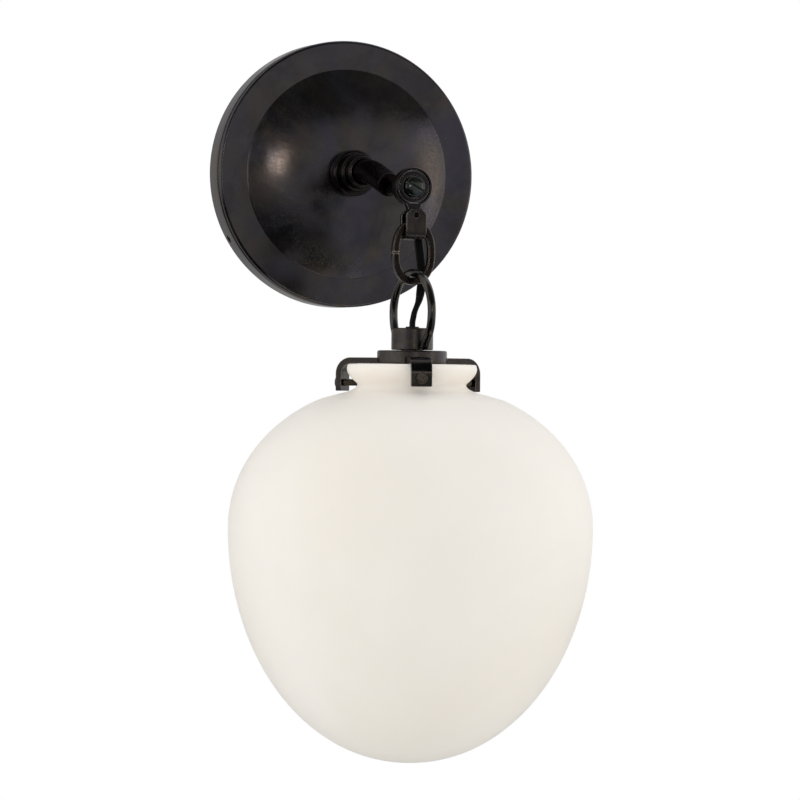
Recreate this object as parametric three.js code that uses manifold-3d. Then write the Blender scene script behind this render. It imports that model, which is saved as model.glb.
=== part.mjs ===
// Hanging pendant wall sconce: a round domed backplate, a short bent arm and its knuckle, then a shackle,
// one chain link and a wire bow that carry a three-claw holder with its socket, bulb and opal glass shade.
// Millimetres, +Z up, +Y into the wall. The origin is the middle of the backplate, on the face of the wall.

import * as THREE from 'three';
import { mergeVertices } from 'three/addons/utils/BufferGeometryUtils.js';
import Module from 'manifold-3d';

const wasm = await Module();
wasm.setup();

// Shared by all pieces
const gap = 0.3; // between two pieces that touch
const overrun = 1; // how far a cutting body runs past what it cuts
const weldDistance = 1e-4;
const fineSides = 40;
const roundSides = 28;
const smallSides = 20;
const wireSides = 12;
const cordSides = 8;
const hexSides = 6;

// Backplate: a spun cover, open towards the wall
const plateRadius = 60.3;
const plateRim = 15.5; // wall to the flat front ring
const sheetThickness = 1.2;
const beadRadius = 1.4;
const grooveDepth = 0.8;
const grooveWidth = 1;
const stepRadius = 47.8;
const stepWidth = 1.5;
const stepRise = 0.9;
const domeRise = 6.2; // flat front ring to the land under the collar
const landRadius = 11.2;

// Mounting pan behind the backplate
const panThickness = 2;
const panFlangeDepth = 9;
const panFlangeThickness = 1.6;
const boxSlotCentre = 41; // from the middle, for boxes with screws 70 to 89 mm apart
const boxSlotLength = 14;
const boxSlotWidth = 5;
const wireHoleRadius = 9;
const wireHoleDrop = 24; // below the middle

// Set screws through the rim of the backplate
const sideScrewRadius = 1.5;
const sideScrewLength = 4.6;
const sideScrewFromWall = 4.5;
const sideScrewSocketRadius = 0.75;
const sideScrewSocketDepth = 1;
const sideScrewNames = ['top', 'left', 'right'];

// Collar at the root of the arm: three turned rings, each with a rounded front edge
const collarRingRadii = [10.4, 8.6, 7.2];
const collarRingDepths = [5.6, 6.2, 5.6];
const collarEdge = 0.8;
const collarGroove = 0.6;

// Threaded nipple, lock washer and lock nut that hold the arm to the backplate
const nippleRadius = 3.9;
const nippleBore = 2.2;
const nippleTail = 8.2; // how far it stands out behind the backplate's sheet
const nippleGrip = 8; // how far it reaches into the arm
const lockWasherRadius = 11;
const lockWasherThickness = 1;
const lockNutRadius = 7.5; // across corners, halved
const lockNutThickness = 4;

// Arm: a round tube that leaves the wall level and then slopes down
const armRadius = 5.4;
const armWall = 1.2;
const armBendOut = 49.5; // wall to the corner of the bend
const armSlopeDegrees = 16;
const armBendLength = 8; // from the bend's corner to where the tube is straight
const armSlopeLength = 24.5; // from the bend's corner to the end of the tube

// Spindle: a capped plug in the end of the arm, with a level stem for the knuckle
const knuckleDrop = 9.3; // below the backplate's middle
const capThickness = 2.2;
const capEdge = 0.8;
const plugLength = 4;
const stemNeckRadius = 2.4;
const stemSeatRadius = 3.8;
const stemSeatLength = 11;
const stemTaper = 3;
const stemThreadDepth = 9;

// Knuckle: a dished disc with a tongue below it
const plumbOut = 107.5; // wall to the line that the shade hangs on
const knuckleRadius = 8.4;
const knuckleThickness = 5.6;
const knuckleProud = 1; // its front face past the plumb line
const knuckleLip = 1;
const knuckleDish = 1.9;
const knuckleEdge = 0.4;
const tongueThickness = 3;
const tongueRadius = 1.75;
const tongueShoulder = 3.6;

// Slotted oval-head screw in the knuckle
const pivotScrewRadius = 2;
const pivotHeadRadius = 4.5;
const pivotHeadRim = 2.5;
const pivotHeadCrown = 1.4;
const pivotSlotWidth = 1.2;
const pivotSlotDepth = 1.3;
const pivotSlotDegrees = -29;

// Rivet that the shackle swings on
const pinDrop = 21.7; // below the backplate's middle
const pinRadius = 0.8;
const pinHeadRadius = 1.3;
const pinHeadThickness = 0.4;
const pinCrownShare = 0.7;

// Shackle: a U of flat strip
const shackleWidth = 9.4;
const shackleThickness = 2.1;
const shackleInner = 2.4; // radius inside the bend
const shackleTop = 2.3; // above the pin
const shackleTopWidth = 5;
const shackleDrop = 6.3; // from the pin to the middle of the round bend
const shackleEdge = 0.5;

// Chain link: an oval of flat strip, seen face on, with a closed seam in its left side
const linkHalfWidth = 9.75;
const linkHalfHeight = 13.9;
const linkBand = 3.1;
const linkDepth = 3.6;
const linkEdge = 0.6;
const linkSeam = 0.3;
const linkFullness = 2.3; // 2 would be an ellipse
const linkSides = 48;
const bowRoom = 0.45; // between the link and the bow's crown

// Bow: a round wire hoop that stands on the holder
const bowWire = 1.7; // radius
const bowHalfWidth = 18.5;
const bowWidestDrop = 17; // from its top to its widest place
const bowFootRadius = 11.1;
const bowTurnDegrees = 7.5;
const bowCrownShare = 0.56;
const bowFlankShare = 0.56;
const bowHeelShare = 0.6;
const bowToeShares = [0.5, 0.34];

// Hub and disc of the holder
const hubTop = 70.7; // below the backplate's middle
const hubHeight = 9.5;
const hubRadius = 9.1;
const hubEdge = 0.5;
const hubRoof = 2.6;
const discRadius = 15.2;
const discThickness = 5.7;
const discEdge = 0.6;
const bushingRadius = 3;
const bushingHeight = 1.4;
const bushingStem = 0.5; // wall of the part inside the roof

// Claws: flat strips bent down over the shade's lip, with a screw each
const clawCount = 3;
const clawNames = ['front', 'right', 'left'];
const clawTurnDegrees = -12;
const clawWidth = 9;
const clawThickness = 2.6;
const clawInner = 8.6;
const clawReach = 34.2;
const clawBend = 7; // outer radius of the bend
const clawFootRooms = [2.6, 0.6, 0.6]; // from the shoulder up to each claw's lower end
const clawEdge = 0.3;
const clawScrewRadius = 1.5;
const clawScrewHeadRadius = 2.5;
const clawScrewHeadLength = 1.2;
const clawScrewAboveEnd = 3.7;
const clawScrewTip = 2.4;
const clawScrewPoint = 0.5;
const clawScrewStandoff = 0.45; // from the glass, until it is turned in
const clawScrewSocketRadius = 1.2;
const clawScrewSocketDepth = 1;

// Nipple, clamp plate and nut under the disc
const stemRadius = 4.8;
const stemBore = 3.4;
const stemInSocket = 4;
const stemInHub = 6.4;
const clampRadius = 13;
const clampThickness = 1.6;
const stemNutRadius = 8;
const stemNutThickness = 3;

// Socket for a small screw base
const socketRadius = 11.5;
const socketLength = 30;
const socketRoof = 6;
const socketShellRadius = 6.9;
const socketShellWall = 0.5;
const socketShellLength = 20;
const socketContactRadius = 2.6;
const socketContactThickness = 0.8;

// Bulb: a small torpedo on its screw base
const bulbBaseLength = 19;
const bulbBaseTip = 2.2;
const bulbRadius = 17.5;
const bulbLength = 76; // glass only
const bulbNeckRadius = 5.6;
const bulbWall = 0.8;
const bulbWidestShare = 0.42;
const bulbTipShare = 0.18; // how much slimmer its end is than a round one
const bulbSpacing = 1.2; // power that spreads its rings
const bulbThreadShare = 0.6;
const threadPitch = 2.54;
const threadDepth = 0.35;

// Shade: an opal glass acorn with a flared lip and a waist
const lipRoom = 4.2; // between the claws and the lip
const lipHeight = 1.8;
const lipOverhang = 3.8; // past the waist
const waistDrop = 8; // below the top of the lip
const glassWall = 2.8;
const shadeRadius = 79.3;
const shoulderHeight = 63; // from the waist to the widest place
const bellyDepth = 102; // from the widest place to the bottom
const shoulderFlare = 7.4; // from the waist out to where the neck's round runs into the shoulder
const shoulderFullness = 2.2;
const bellyFullness = 2.05;
const shoulderSpacing = 0.9; // power that spreads the shoulder's rings

// Leads and connectors inside the backplate
const cordRadius = 1.7;
const leadRadius = 0.9;
const leadSpread = 21;
const leadFirstShares = [0.3, 0.4]; // of its spread and its rise
const leadTopShare = 0.75; // of its spread
const leadFallShare = 0.8; // of its rise
const groundLeadShare = 1.3; // how far it swings out past its first bend
const connectorRadius = 4.6;
const connectorTipRadius = 2.9;
const connectorLength = 18;
const connectorFromWall = 8.4;
const connectorTop = 3; // above the middle
const connectorWall = 1;
const connectorDepth = 9;
const groundScrewUp = 24;
const groundScrewHeadRadius = 3.6;
const groundScrewHeadHeight = 2;
const groundScrewRadius = 1.8;
const groundSlotWidth = 0.9;

// Cord bushing in the arm's right side
const exitShare = 0.68; // along the sloping part
const exitTurnDegrees = 40; // from level, downwards
const exitFlangeRadius = 3.2;
const exitFlangeThickness = 0.9;
const exitWall = 0.5;

// Sizes that follow from those above
const radians = THREE.MathUtils.degToRad;
const plateLand = plateRim + domeRise;
const plateInside = plateRadius - sheetThickness;
const panRadius = plateInside - gap;
const collarBase = plateLand + gap;
const collarLength = collarRingDepths.reduce((sum, depth) => sum + depth, 0);
const armStart = collarBase + collarRingDepths[0] + gap;
const armBore = armRadius - armWall;
const armSlope = Math.tan(radians(armSlopeDegrees));
const armEnd = armBendOut + armSlopeLength * Math.cos(radians(armSlopeDegrees));
const exitOut = armBendOut + (armEnd - armBendOut) * exitShare;
const knuckleFront = plumbOut + knuckleProud;
const knuckleBack = knuckleFront - knuckleThickness;
const stemFront = knuckleBack - gap;
const shackleOuter = shackleInner + shackleThickness;
const shackleBend = pinDrop + shackleDrop;
const linkInnerHalfWidth = linkHalfWidth - linkBand;
const linkInnerHalfHeight = linkHalfHeight - linkBand;
const linkSeatDrop = Math.sqrt((shackleInner - gap) ** 2 - (linkDepth / 2 - linkEdge) ** 2);
const linkSeatAcross = (shackleWidth / 2 / linkInnerHalfWidth) ** linkFullness;
const linkSeatShare = (1 - linkSeatAcross) ** (1 / linkFullness);
const linkCentre = shackleBend + linkSeatDrop + linkInnerHalfHeight * linkSeatShare;
const bowTop = linkCentre + linkInnerHalfHeight - bowRoom - bowWire;
const discTop = hubTop + hubHeight + gap;
const discBottom = discTop + discThickness;
const clawTop = discBottom - clawThickness;
const clampTop = discBottom + gap;
const stemNutTop = clampTop + clampThickness + gap;
const socketTop = stemNutTop + stemNutThickness + gap;
const stemTop = hubTop + hubHeight - stemInHub;
const stemBottom = socketTop + stemInSocket;
const socketBore = socketShellRadius + gap;
const shellTop = socketTop + socketRoof + socketContactThickness + 2 * gap;
const bulbTop = shellTop + gap;
const bulbBaseRadius = socketShellRadius - socketShellWall - gap;
const bulbGlassTop = bulbTop + bulbBaseTip + bulbBaseLength + gap;
const lipTop = discBottom + gap;
const waistLevel = lipTop + waistDrop;
const lipRadius = clawReach - clawThickness - lipRoom;
const waistRadius = lipRadius - lipOverhang;
const shoulderRadius = waistRadius + shoulderFlare;
const shadeWidest = waistLevel + shoulderHeight;
const shadeBottom = shadeWidest + bellyDepth;

// The cord's route: inside the arm to its bushing, then from the bushing to the holder
const supplyPoints = [
  [0, -14.6, 0],
  [0, -30, 0],
  [0, -42, -0.2],
  [0, -51, -1.2],
  [0, -58, -2.6],
  [0.2, -61.6, -3.6],
  [1.3, -64.6, -5.4],
  [3.06, -64.79, -7.06],
  [4.14, -64.54, -7.93],
  [5, -64.34, -8.63],
];
const cordPoints = [
  [5.36, -64.26, -8.92],
  [6.05, -64.1, -9.48],
  [7.4, -64.7, -10.3],
  [8.9, -67.5, -11.2],
  [9.8, -73, -12.2],
  [10, -80, -13.2],
  [8.6, -87, -15.5],
  [7.4, -93, -19.5],
  [6.2, -97.4, -24.6],
  [4.9, -99.8, -30.5],
  [5.4, -100.6, -37],
  [6.1, -100.8, -43],
  [6.6, -100.8, -48.4],
  [6, -101.2, -53],
  [4.6, -102.8, -58.4],
  [1.9, -105.2, -63.2],
  [0.6, -106.9, -66.2],
  [0, -107.5, -68.4],
  [0, -107.5, -71.6],
  [0, -107.5, -75],
  [0, -107.5, -84],
  [0, -107.5, -96.6],
];
const cordSeams = [0, 0.36, 0.64, 1]; // shares of its length where its three parts meet
const cordSteps = [12, 9, 12];
const supplySteps = 18;
const leadSteps = 16;
const groundLeadSteps = 20;
const armSteps = 14;
const bowSteps = 36;

// Geometry that has one closed surface, with its faces pointing out
function welded(geometry) {
  const bare = geometry.index ? geometry.toNonIndexed() : geometry.clone();
  bare.deleteAttribute('normal');
  bare.deleteAttribute('uv');
  const merged = mergeVertices(bare, weldDistance);
  const corners = merged.index.array;
  const kept = [];
  for (let i = 0; i < corners.length; i += 3) {
    const [a, b, c] = [corners[i], corners[i + 1], corners[i + 2]];
    if (a !== b && b !== c && c !== a) kept.push(a, b, c);
  }
  merged.setIndex(kept);
  if (volumeOf(merged) < 0) {
    merged.setIndex(kept.map((_, i) => kept[i - (i % 3) + 2 - (i % 3)]));
  }
  merged.computeVertexNormals();
  return merged;
}

function volumeOf(geometry) {
  const [a, b, c] = [new THREE.Vector3(), new THREE.Vector3(), new THREE.Vector3()];
  const { position } = geometry.attributes;
  const corners = geometry.index.array;
  let volume = 0;
  for (let i = 0; i < corners.length; i += 3) {
    a.fromBufferAttribute(position, corners[i]);
    b.fromBufferAttribute(position, corners[i + 1]);
    c.fromBufferAttribute(position, corners[i + 2]);
    volume += a.dot(b.cross(c)) / 6;
  }
  return volume;
}

function toSolid(geometry) {
  const closed = welded(geometry);
  const vertProperties = new Float32Array(closed.attributes.position.array);
  const triVerts = new Uint32Array(closed.index.array);
  return new wasm.Manifold(new wasm.Mesh({ numProp: 3, vertProperties, triVerts }));
}

function fromSolid(solid) {
  const { vertProperties, triVerts } = solid.getMesh();
  const geometry = new THREE.BufferGeometry();
  geometry.setAttribute('position', new THREE.BufferAttribute(new Float32Array(vertProperties), 3));
  geometry.setIndex(Array.from(triVerts));
  return geometry;
}

const join = (...parts) => fromSolid(parts.map(toSolid).reduce((all, next) => all.add(next)));
const cut = (base, ...tools) =>
  fromSolid(tools.map(toSolid).reduce((left, next) => left.subtract(next), toSolid(base)));
const common = (one, other) => fromSolid(toSolid(one).intersect(toSolid(other)));

// Turned shapes. A profile is a list of [radius, height] that closes on itself or starts and ends on the axis.
function turned(profile, sides = roundSides) {
  const points = profile.map(([radius, height]) => new THREE.Vector2(radius, height));
  return new THREE.LatheGeometry(points, sides);
}

const hanging = (geometry) => geometry.rotateX(-Math.PI / 2); // heights run down
const outward = (geometry) => geometry.rotateX(Math.PI); // heights run out from the wall
const closedLoop = (profile) => [...profile, profile[0]];

function rod(radius, from, to, sides = smallSides) {
  return turned([[0, from], [radius, from], [radius, to], [0, to]], sides);
}

function ring(outer, inner, from, to, sides = roundSides) {
  return turned(closedLoop([[inner, from], [outer, from], [outer, to], [inner, to]]), sides);
}

function arc(centreRadius, centreHeight, radius, fromDegrees, toDegrees, steps) {
  return Array.from({ length: steps + 1 }, (_, i) => {
    const angle = radians(fromDegrees + ((toDegrees - fromDegrees) * i) / steps);
    return [centreRadius + radius * Math.cos(angle), centreHeight + radius * Math.sin(angle)];
  });
}

// Flat shapes. An outline gets its thickness evenly to both sides of its plane, and its edges a chamfer.
function slab(shape, thickness, edge = 0, curveSegments = smallSides) {
  const depth = thickness - 2 * edge;
  const bevel = { bevelThickness: edge, bevelSize: edge, bevelOffset: -edge, bevelSegments: 1 };
  const options = { depth, curveSegments, bevelEnabled: edge > 0, ...bevel };
  return new THREE.ExtrudeGeometry(shape, options).translate(0, 0, -depth / 2);
}

const box = (width, depth, height) => new THREE.BoxGeometry(width, depth, height);
const outline = (points) => new THREE.Shape(points.map(([x, y]) => new THREE.Vector2(x, y)));

// An outline drawn in x and up, thickened along the wall's axis
const facing = (geometry) => geometry.rotateX(Math.PI / 2);

// An outline drawn in out-from-the-wall and up, thickened sideways
function sideways(geometry) {
  const out = new THREE.Vector3(0, -1, 0);
  const up = new THREE.Vector3(0, 0, 1);
  return geometry.applyMatrix4(new THREE.Matrix4().makeBasis(out, up, out.clone().cross(up)));
}

function disc(radius, sides) {
  const shape = new THREE.Shape();
  shape.setFromPoints(
    Array.from({ length: sides }, (_, i) => {
      const angle = (2 * Math.PI * i) / sides;
      return new THREE.Vector2(radius * Math.cos(angle), radius * Math.sin(angle));
    }),
  );
  return shape;
}

function swept(section, curve, steps) {
  return new THREE.ExtrudeGeometry(section, { steps, bevelEnabled: false, extrudePath: curve });
}

function smoothThrough(points) {
  return new THREE.CatmullRomCurve3(points.map(([x, y, z]) => new THREE.Vector3(x, y, z)));
}

// One stretch of a longer curve, by shares of its length
class Stretch extends THREE.Curve {
  constructor(curve, from, to) {
    super();
    this.whole = curve;
    this.from = from;
    this.to = to;
  }

  getPoint(share, target) {
    return this.whole.getPointAt(this.from + (this.to - this.from) * share, target);
  }
}

const cordNames = ['upper', 'middle', 'lower'];

function cordPart(index) {
  const route = smoothThrough(cordPoints);
  const half = index > 0 ? gap / 2 / route.getLength() : 0;
  const other = index < cordNames.length - 1 ? gap / 2 / route.getLength() : 0;
  const part = new Stretch(route, cordSeams[index] + half, cordSeams[index + 1] - other);
  return swept(disc(cordRadius, cordSides), part, cordSteps[index]);
}

// Copies round the wall's axis start at the top, and copies round the plumb line at the front
const aroundWallAxis = (geometry, degrees) => geometry.rotateY(-radians(degrees));
const sideScrewDegrees = (index) => 90 + (360 * index) / sideScrewNames.length;

// Backplate and what is behind it

function backplate() {
  const inside = stepRadius - stepWidth;
  const edgeHeight = plateRim + stepRise / 2;
  const front = [
    [plateRadius, 0],
    [plateRadius, plateRim - 2 * beadRadius - grooveWidth],
    [plateRadius - grooveDepth, plateRim - 2 * beadRadius - grooveWidth],
    [plateRadius - grooveDepth, plateRim - 2 * beadRadius],
    ...arc(plateRadius - beadRadius, plateRim - beadRadius, beadRadius, -45, 90, 4),
    [stepRadius, plateRim],
    [stepRadius - stepWidth / 3, plateRim + stepRise],
    [inside + stepWidth / 3, plateRim + stepRise],
  ];
  const domeSteps = 7;
  const dome = Array.from({ length: domeSteps + 1 }, (_, i) => {
    const share = 1 - i / domeSteps;
    const rise = plateLand - (plateLand - edgeHeight) * share ** 2;
    return [landRadius + (inside - landRadius) * share, rise];
  });
  const boreRadius = nippleRadius + gap;
  const back = [
    [boreRadius, plateLand - sheetThickness],
    [landRadius, plateLand - sheetThickness],
    ...dome.filter((_, i) => i % 2 > 0).slice(0, -1).reverse().map(([radius, height]) => [radius, height - sheetThickness]),
    [stepRadius, plateRim - sheetThickness],
    [plateInside - beadRadius, plateRim - sheetThickness],
    [plateInside, plateRim - sheetThickness - beadRadius],
    [plateInside, 0],
  ];
  const shell = outward(turned(closedLoop([...front, ...dome, [boreRadius, plateLand], ...back]), fineSides));
  const holes = sideScrewNames.map((_, i) => sideHole(sideScrewDegrees(i)));
  return cut(shell, ...holes);
}

function sideHole(degrees) {
  const radius = sideScrewRadius + gap;
  const from = panRadius - panFlangeThickness - overrun;
  const hole = rod(radius, from, plateRadius + overrun).rotateZ(-Math.PI / 2);
  return aroundWallAxis(hole.translate(0, -sideScrewFromWall, 0), degrees);
}

function mountingPan() {
  const lining = panRadius - panFlangeThickness;
  const profile = [
    [0, 0],
    [panRadius, 0],
    [panRadius, panFlangeDepth],
    [lining, panFlangeDepth],
    [lining, panThickness],
    [0, panThickness],
  ];
  const pan = outward(turned(profile, fineSides));
  const depth = panThickness + 2 * overrun;
  const slots = [-1, 1].map((side) =>
    facing(slab(slotShape(boxSlotLength, boxSlotWidth), depth)).translate(side * boxSlotCentre, -panThickness / 2, 0),
  );
  const wireHole = outward(rod(wireHoleRadius, -overrun, panThickness + overrun));
  const groundHole = outward(rod(groundScrewRadius + gap, -overrun, panThickness + overrun));
  const sideHoles = sideScrewNames.map((_, i) => sideHole(sideScrewDegrees(i)));
  return cut(
    pan,
    ...slots,
    wireHole.translate(0, 0, -wireHoleDrop),
    groundHole.translate(0, 0, groundScrewUp),
    ...sideHoles,
  );
}

function slotShape(length, width) {
  const radius = width / 2;
  const straight = length / 2 - radius;
  const shape = new THREE.Shape();
  shape.absarc(straight, 0, radius, -Math.PI / 2, Math.PI / 2, false);
  shape.absarc(-straight, 0, radius, Math.PI / 2, (3 * Math.PI) / 2, false);
  return shape;
}

function sideScrew(degrees) {
  const end = plateRadius - gap;
  const body = rod(sideScrewRadius, end - sideScrewLength, end);
  const socket = rod(sideScrewSocketRadius, end - sideScrewSocketDepth, end + overrun, hexSides);
  const screw = cut(body, socket).rotateZ(-Math.PI / 2).translate(0, -sideScrewFromWall, 0);
  return aroundWallAxis(screw, degrees);
}

function groundScrew() {
  const top = panThickness + gap + groundScrewHeadHeight;
  const profile = [
    [0, gap],
    [groundScrewRadius, gap],
    [groundScrewRadius, panThickness + gap],
    [groundScrewHeadRadius, panThickness + gap],
    [groundScrewHeadRadius, top],
    [0, top],
  ];
  const slot = box(2 * groundScrewHeadRadius + overrun, groundScrewHeadHeight, groundSlotWidth);
  const screw = cut(outward(turned(profile, smallSides)), slot.translate(0, -top, 0));
  return screw.translate(0, 0, groundScrewUp);
}

function wireConnector(side) {
  const bottom = connectorLength;
  const profile = closedLoop([
    [connectorRadius - connectorWall, 0],
    [connectorRadius, 0],
    [connectorRadius, connectorLength / 3],
    [connectorTipRadius, bottom],
    [0, bottom],
    [0, connectorDepth],
    [leadRadius + gap, connectorDepth],
  ]);
  const shell = hanging(turned(profile, smallSides));
  return shell.translate(side * leadSpread, -connectorFromWall, connectorTop);
}

function splitLead(side) {
  const mouth = plateLand - sheetThickness - nippleTail;
  const start = side * (leadRadius + gap / 2);
  const rise = connectorTop + connectorLength / 2;
  const curve = smoothThrough([
    [start, -(mouth + leadRadius), 0],
    [start, -(mouth - 2 * leadRadius), 0],
    [side * leadSpread * leadFirstShares[0], -(connectorFromWall + leadRadius), rise * leadFirstShares[1]],
    [side * leadSpread * leadTopShare, -connectorFromWall, rise],
    [side * leadSpread, -connectorFromWall, rise * leadFallShare],
    [side * leadSpread, -connectorFromWall, connectorTop + gap],
    [side * leadSpread, -connectorFromWall, connectorTop - connectorDepth + gap],
  ]);
  return swept(disc(leadRadius, cordSides), curve, leadSteps);
}

function groundLead() {
  const level = panThickness + gap + groundScrewHeadHeight + gap + leadRadius;
  const turn = groundScrewHeadRadius + leadSpread / 3;
  const curve = smoothThrough([
    [-groundScrewHeadRadius, -level, groundScrewUp],
    [groundScrewHeadRadius, -level, groundScrewUp],
    [turn, -level, groundScrewUp - groundScrewHeadRadius],
    [turn * groundLeadShare, -level, groundScrewUp - turn],
    [turn * groundLeadShare, -level, 0],
    [turn, -level, -wireHoleDrop / 2],
    [wireHoleRadius / 2, -level, leadRadius - wireHoleDrop],
    [wireHoleRadius / 2, -panThickness, -wireHoleDrop - leadRadius],
    [wireHoleRadius / 2, -gap, -wireHoleDrop - leadRadius],
  ]);
  return swept(disc(leadRadius, cordSides), curve, groundLeadSteps);
}

// Collar, nipple, lock washer and nut

function collar() {
  const rings = [];
  let height = collarBase;
  collarRingRadii.forEach((radius, i) => {
    const top = height + collarRingDepths[i];
    rings.push([radius - collarGroove, height], [radius, height + collarGroove]);
    rings.push(...arc(radius - collarEdge, top - collarEdge, collarEdge, 0, 90, 2));
    height = top;
  });
  const seat = armStart - gap;
  const bore = [
    [armRadius + gap, height],
    [armRadius + gap, seat],
    [nippleRadius + gap, seat],
    [nippleRadius + gap, collarBase],
  ];
  return outward(turned(closedLoop([...rings, ...bore])));
}

function armNipple() {
  const from = plateLand - sheetThickness - nippleTail;
  return outward(ring(nippleRadius, nippleBore, from, armStart + nippleGrip, smallSides));
}

function lockWasher() {
  const top = plateLand - sheetThickness - gap;
  return outward(ring(lockWasherRadius, nippleRadius + gap, top - lockWasherThickness, top, roundSides));
}

function lockNut() {
  const top = plateLand - sheetThickness - 2 * gap - lockWasherThickness;
  return hexNut(lockNutRadius, nippleRadius + gap, top - lockNutThickness, top, outward);
}

function hexNut(cornerRadius, bore, from, to, place) {
  const hole = rod(bore, from - overrun, to + overrun);
  return place(cut(rod(cornerRadius, from, to, hexSides), hole));
}

// Arm, its spindle and the cord's bushing

const armAt = (out) => new THREE.Vector3(0, -out, -Math.max(out - armBendOut, 0) * armSlope);

function armCurve() {
  const from = armAt(armBendOut - armBendLength);
  const to = armAt(armBendOut + armBendLength);
  const path = new THREE.CurvePath();
  path.add(new THREE.LineCurve3(armAt(armStart), from));
  path.add(new THREE.QuadraticBezierCurve3(from, armAt(armBendOut), to));
  path.add(new THREE.LineCurve3(to, armAt(armEnd)));
  return path;
}

function armTube() {
  const section = disc(armRadius, smallSides);
  section.holes.push(disc(armBore, smallSides));
  return cut(swept(section, armCurve(), armSteps), exitBore(exitFlangeRadius - exitWall));
}

// Turns what points sideways out of the wall's axis so that it leaves the sloping tube at right angles
function throughTube(geometry) {
  const turnedDown = geometry.rotateZ(-Math.PI / 2).rotateY(radians(exitTurnDegrees));
  return turnedDown.rotateX(radians(armSlopeDegrees)).translate(0, -exitOut, armAt(exitOut).z);
}

const exitBore = (radius) => throughTube(rod(radius, 0, armRadius + overrun));

function exitBushing() {
  const stem = exitFlangeRadius - exitWall - gap;
  const bore = cordRadius + gap;
  const seat = armRadius + gap;
  const profile = [
    [bore, armBore],
    [stem, armBore],
    [stem, seat],
    [exitFlangeRadius, seat],
    [exitFlangeRadius, seat + exitFlangeThickness],
    [bore, seat + exitFlangeThickness],
  ];
  return throughTube(turned(closedLoop(profile), smallSides));
}

function spindle() {
  const capProfile = [
    [0, -plugLength],
    [armBore - gap, -plugLength],
    [armBore - gap, gap],
    [armRadius, gap],
    [armRadius, capThickness - capEdge],
    [armRadius - capEdge, capThickness],
    [0, capThickness],
  ];
  const cap = outward(turned(capProfile)).rotateX(radians(armSlopeDegrees));
  const end = armAt(armEnd);
  const seatBack = stemFront - stemSeatLength;
  const thread = pivotScrewRadius + gap;
  const stemProfile = [
    [0, armEnd + gap],
    [stemNeckRadius, armEnd + gap],
    [stemNeckRadius, seatBack - stemTaper],
    [stemSeatRadius, seatBack],
    [stemSeatRadius, stemFront],
    [thread, stemFront],
    [thread, stemFront - stemThreadDepth],
    [0, stemFront - stemThreadDepth],
  ];
  const stem = outward(turned(stemProfile)).translate(0, 0, -knuckleDrop);
  return join(cap.translate(end.x, end.y, end.z), stem);
}

// Knuckle and its screw

function knuckle() {
  const lip = knuckleRadius - knuckleLip;
  const floor = knuckleFront - knuckleDish;
  const bore = pivotScrewRadius + gap;
  const profile = [
    [bore, knuckleBack],
    [knuckleRadius - knuckleEdge, knuckleBack],
    [knuckleRadius, knuckleBack + knuckleEdge],
    [knuckleRadius, knuckleFront - knuckleEdge],
    [knuckleRadius - knuckleEdge, knuckleFront],
    [lip, knuckleFront],
    [lip - knuckleDish / 2, floor + knuckleDish / 4],
    [pivotHeadRadius + gap, floor],
    [bore, floor],
  ];
  const head = outward(turned(closedLoop(profile))).translate(0, 0, -knuckleDrop);
  const top = -(knuckleDrop + knuckleRadius - knuckleLip);
  const tongueShape = new THREE.Shape();
  tongueShape.moveTo(tongueShoulder, top);
  tongueShape.lineTo(-tongueShoulder, top);
  tongueShape.absarc(0, -pinDrop, tongueRadius, Math.PI, 2 * Math.PI, false);
  const tongue = facing(slab(tongueShape, tongueThickness, 0, 8));
  return cut(join(head, tongue.translate(0, tongueThickness / 2 - knuckleFront + knuckleEdge / 4, 0)), pinBore());
}

function pinBore() {
  const reach = shackleOuter + overrun;
  const bore = outward(rod(pinRadius + gap, plumbOut - reach, plumbOut + reach));
  return bore.translate(0, 0, -pinDrop);
}

function pivotScrew() {
  const seat = knuckleFront - knuckleDish + gap;
  const crownBase = seat + pivotHeadRim;
  const crown = Array.from({ length: 5 }, (_, i) => {
    const share = i / 4;
    return [pivotHeadRadius * (1 - share), crownBase + pivotHeadCrown * Math.sin((share * Math.PI) / 2)];
  });
  const end = stemFront - stemThreadDepth + gap;
  const profile = [[0, end], [pivotScrewRadius, end], [pivotScrewRadius, seat], [pivotHeadRadius, seat], ...crown];
  const slot = box(2 * pivotHeadRadius + overrun, 2 * pivotSlotDepth, pivotSlotWidth);
  slot.rotateY(-radians(pivotSlotDegrees)).translate(0, -(crownBase + pivotHeadCrown), 0);
  return cut(outward(turned(profile)), slot).translate(0, 0, -knuckleDrop);
}

// Shackle and its pin

function shackle() {
  const shape = new THREE.Shape();
  const top = -(pinDrop - shackleTop);
  shape.moveTo(-shackleOuter, top);
  shape.absarc(0, -shackleBend, shackleOuter, Math.PI, 2 * Math.PI, false);
  shape.lineTo(shackleOuter, top);
  shape.lineTo(shackleInner, top);
  shape.absarc(0, -shackleBend, shackleInner, 2 * Math.PI, Math.PI, true);
  shape.lineTo(-shackleInner, top);
  const strip = sideways(slab(shape, shackleWidth, shackleEdge, 8)).translate(0, -plumbOut, 0);
  const half = shackleWidth / 2 + overrun;
  const clipped = half - shackleTopWidth / 2;
  const front = outline([
    [-shackleTopWidth / 2, top],
    [-half, top - clipped],
    [-half, -(shackleBend + shackleOuter + overrun)],
    [half, -(shackleBend + shackleOuter + overrun)],
    [half, top - clipped],
    [shackleTopWidth / 2, top],
  ]);
  const trim = facing(slab(front, 2 * shackleOuter + 2 * overrun)).translate(0, -plumbOut, 0);
  return cut(common(strip, trim), pinBore());
}

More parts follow.
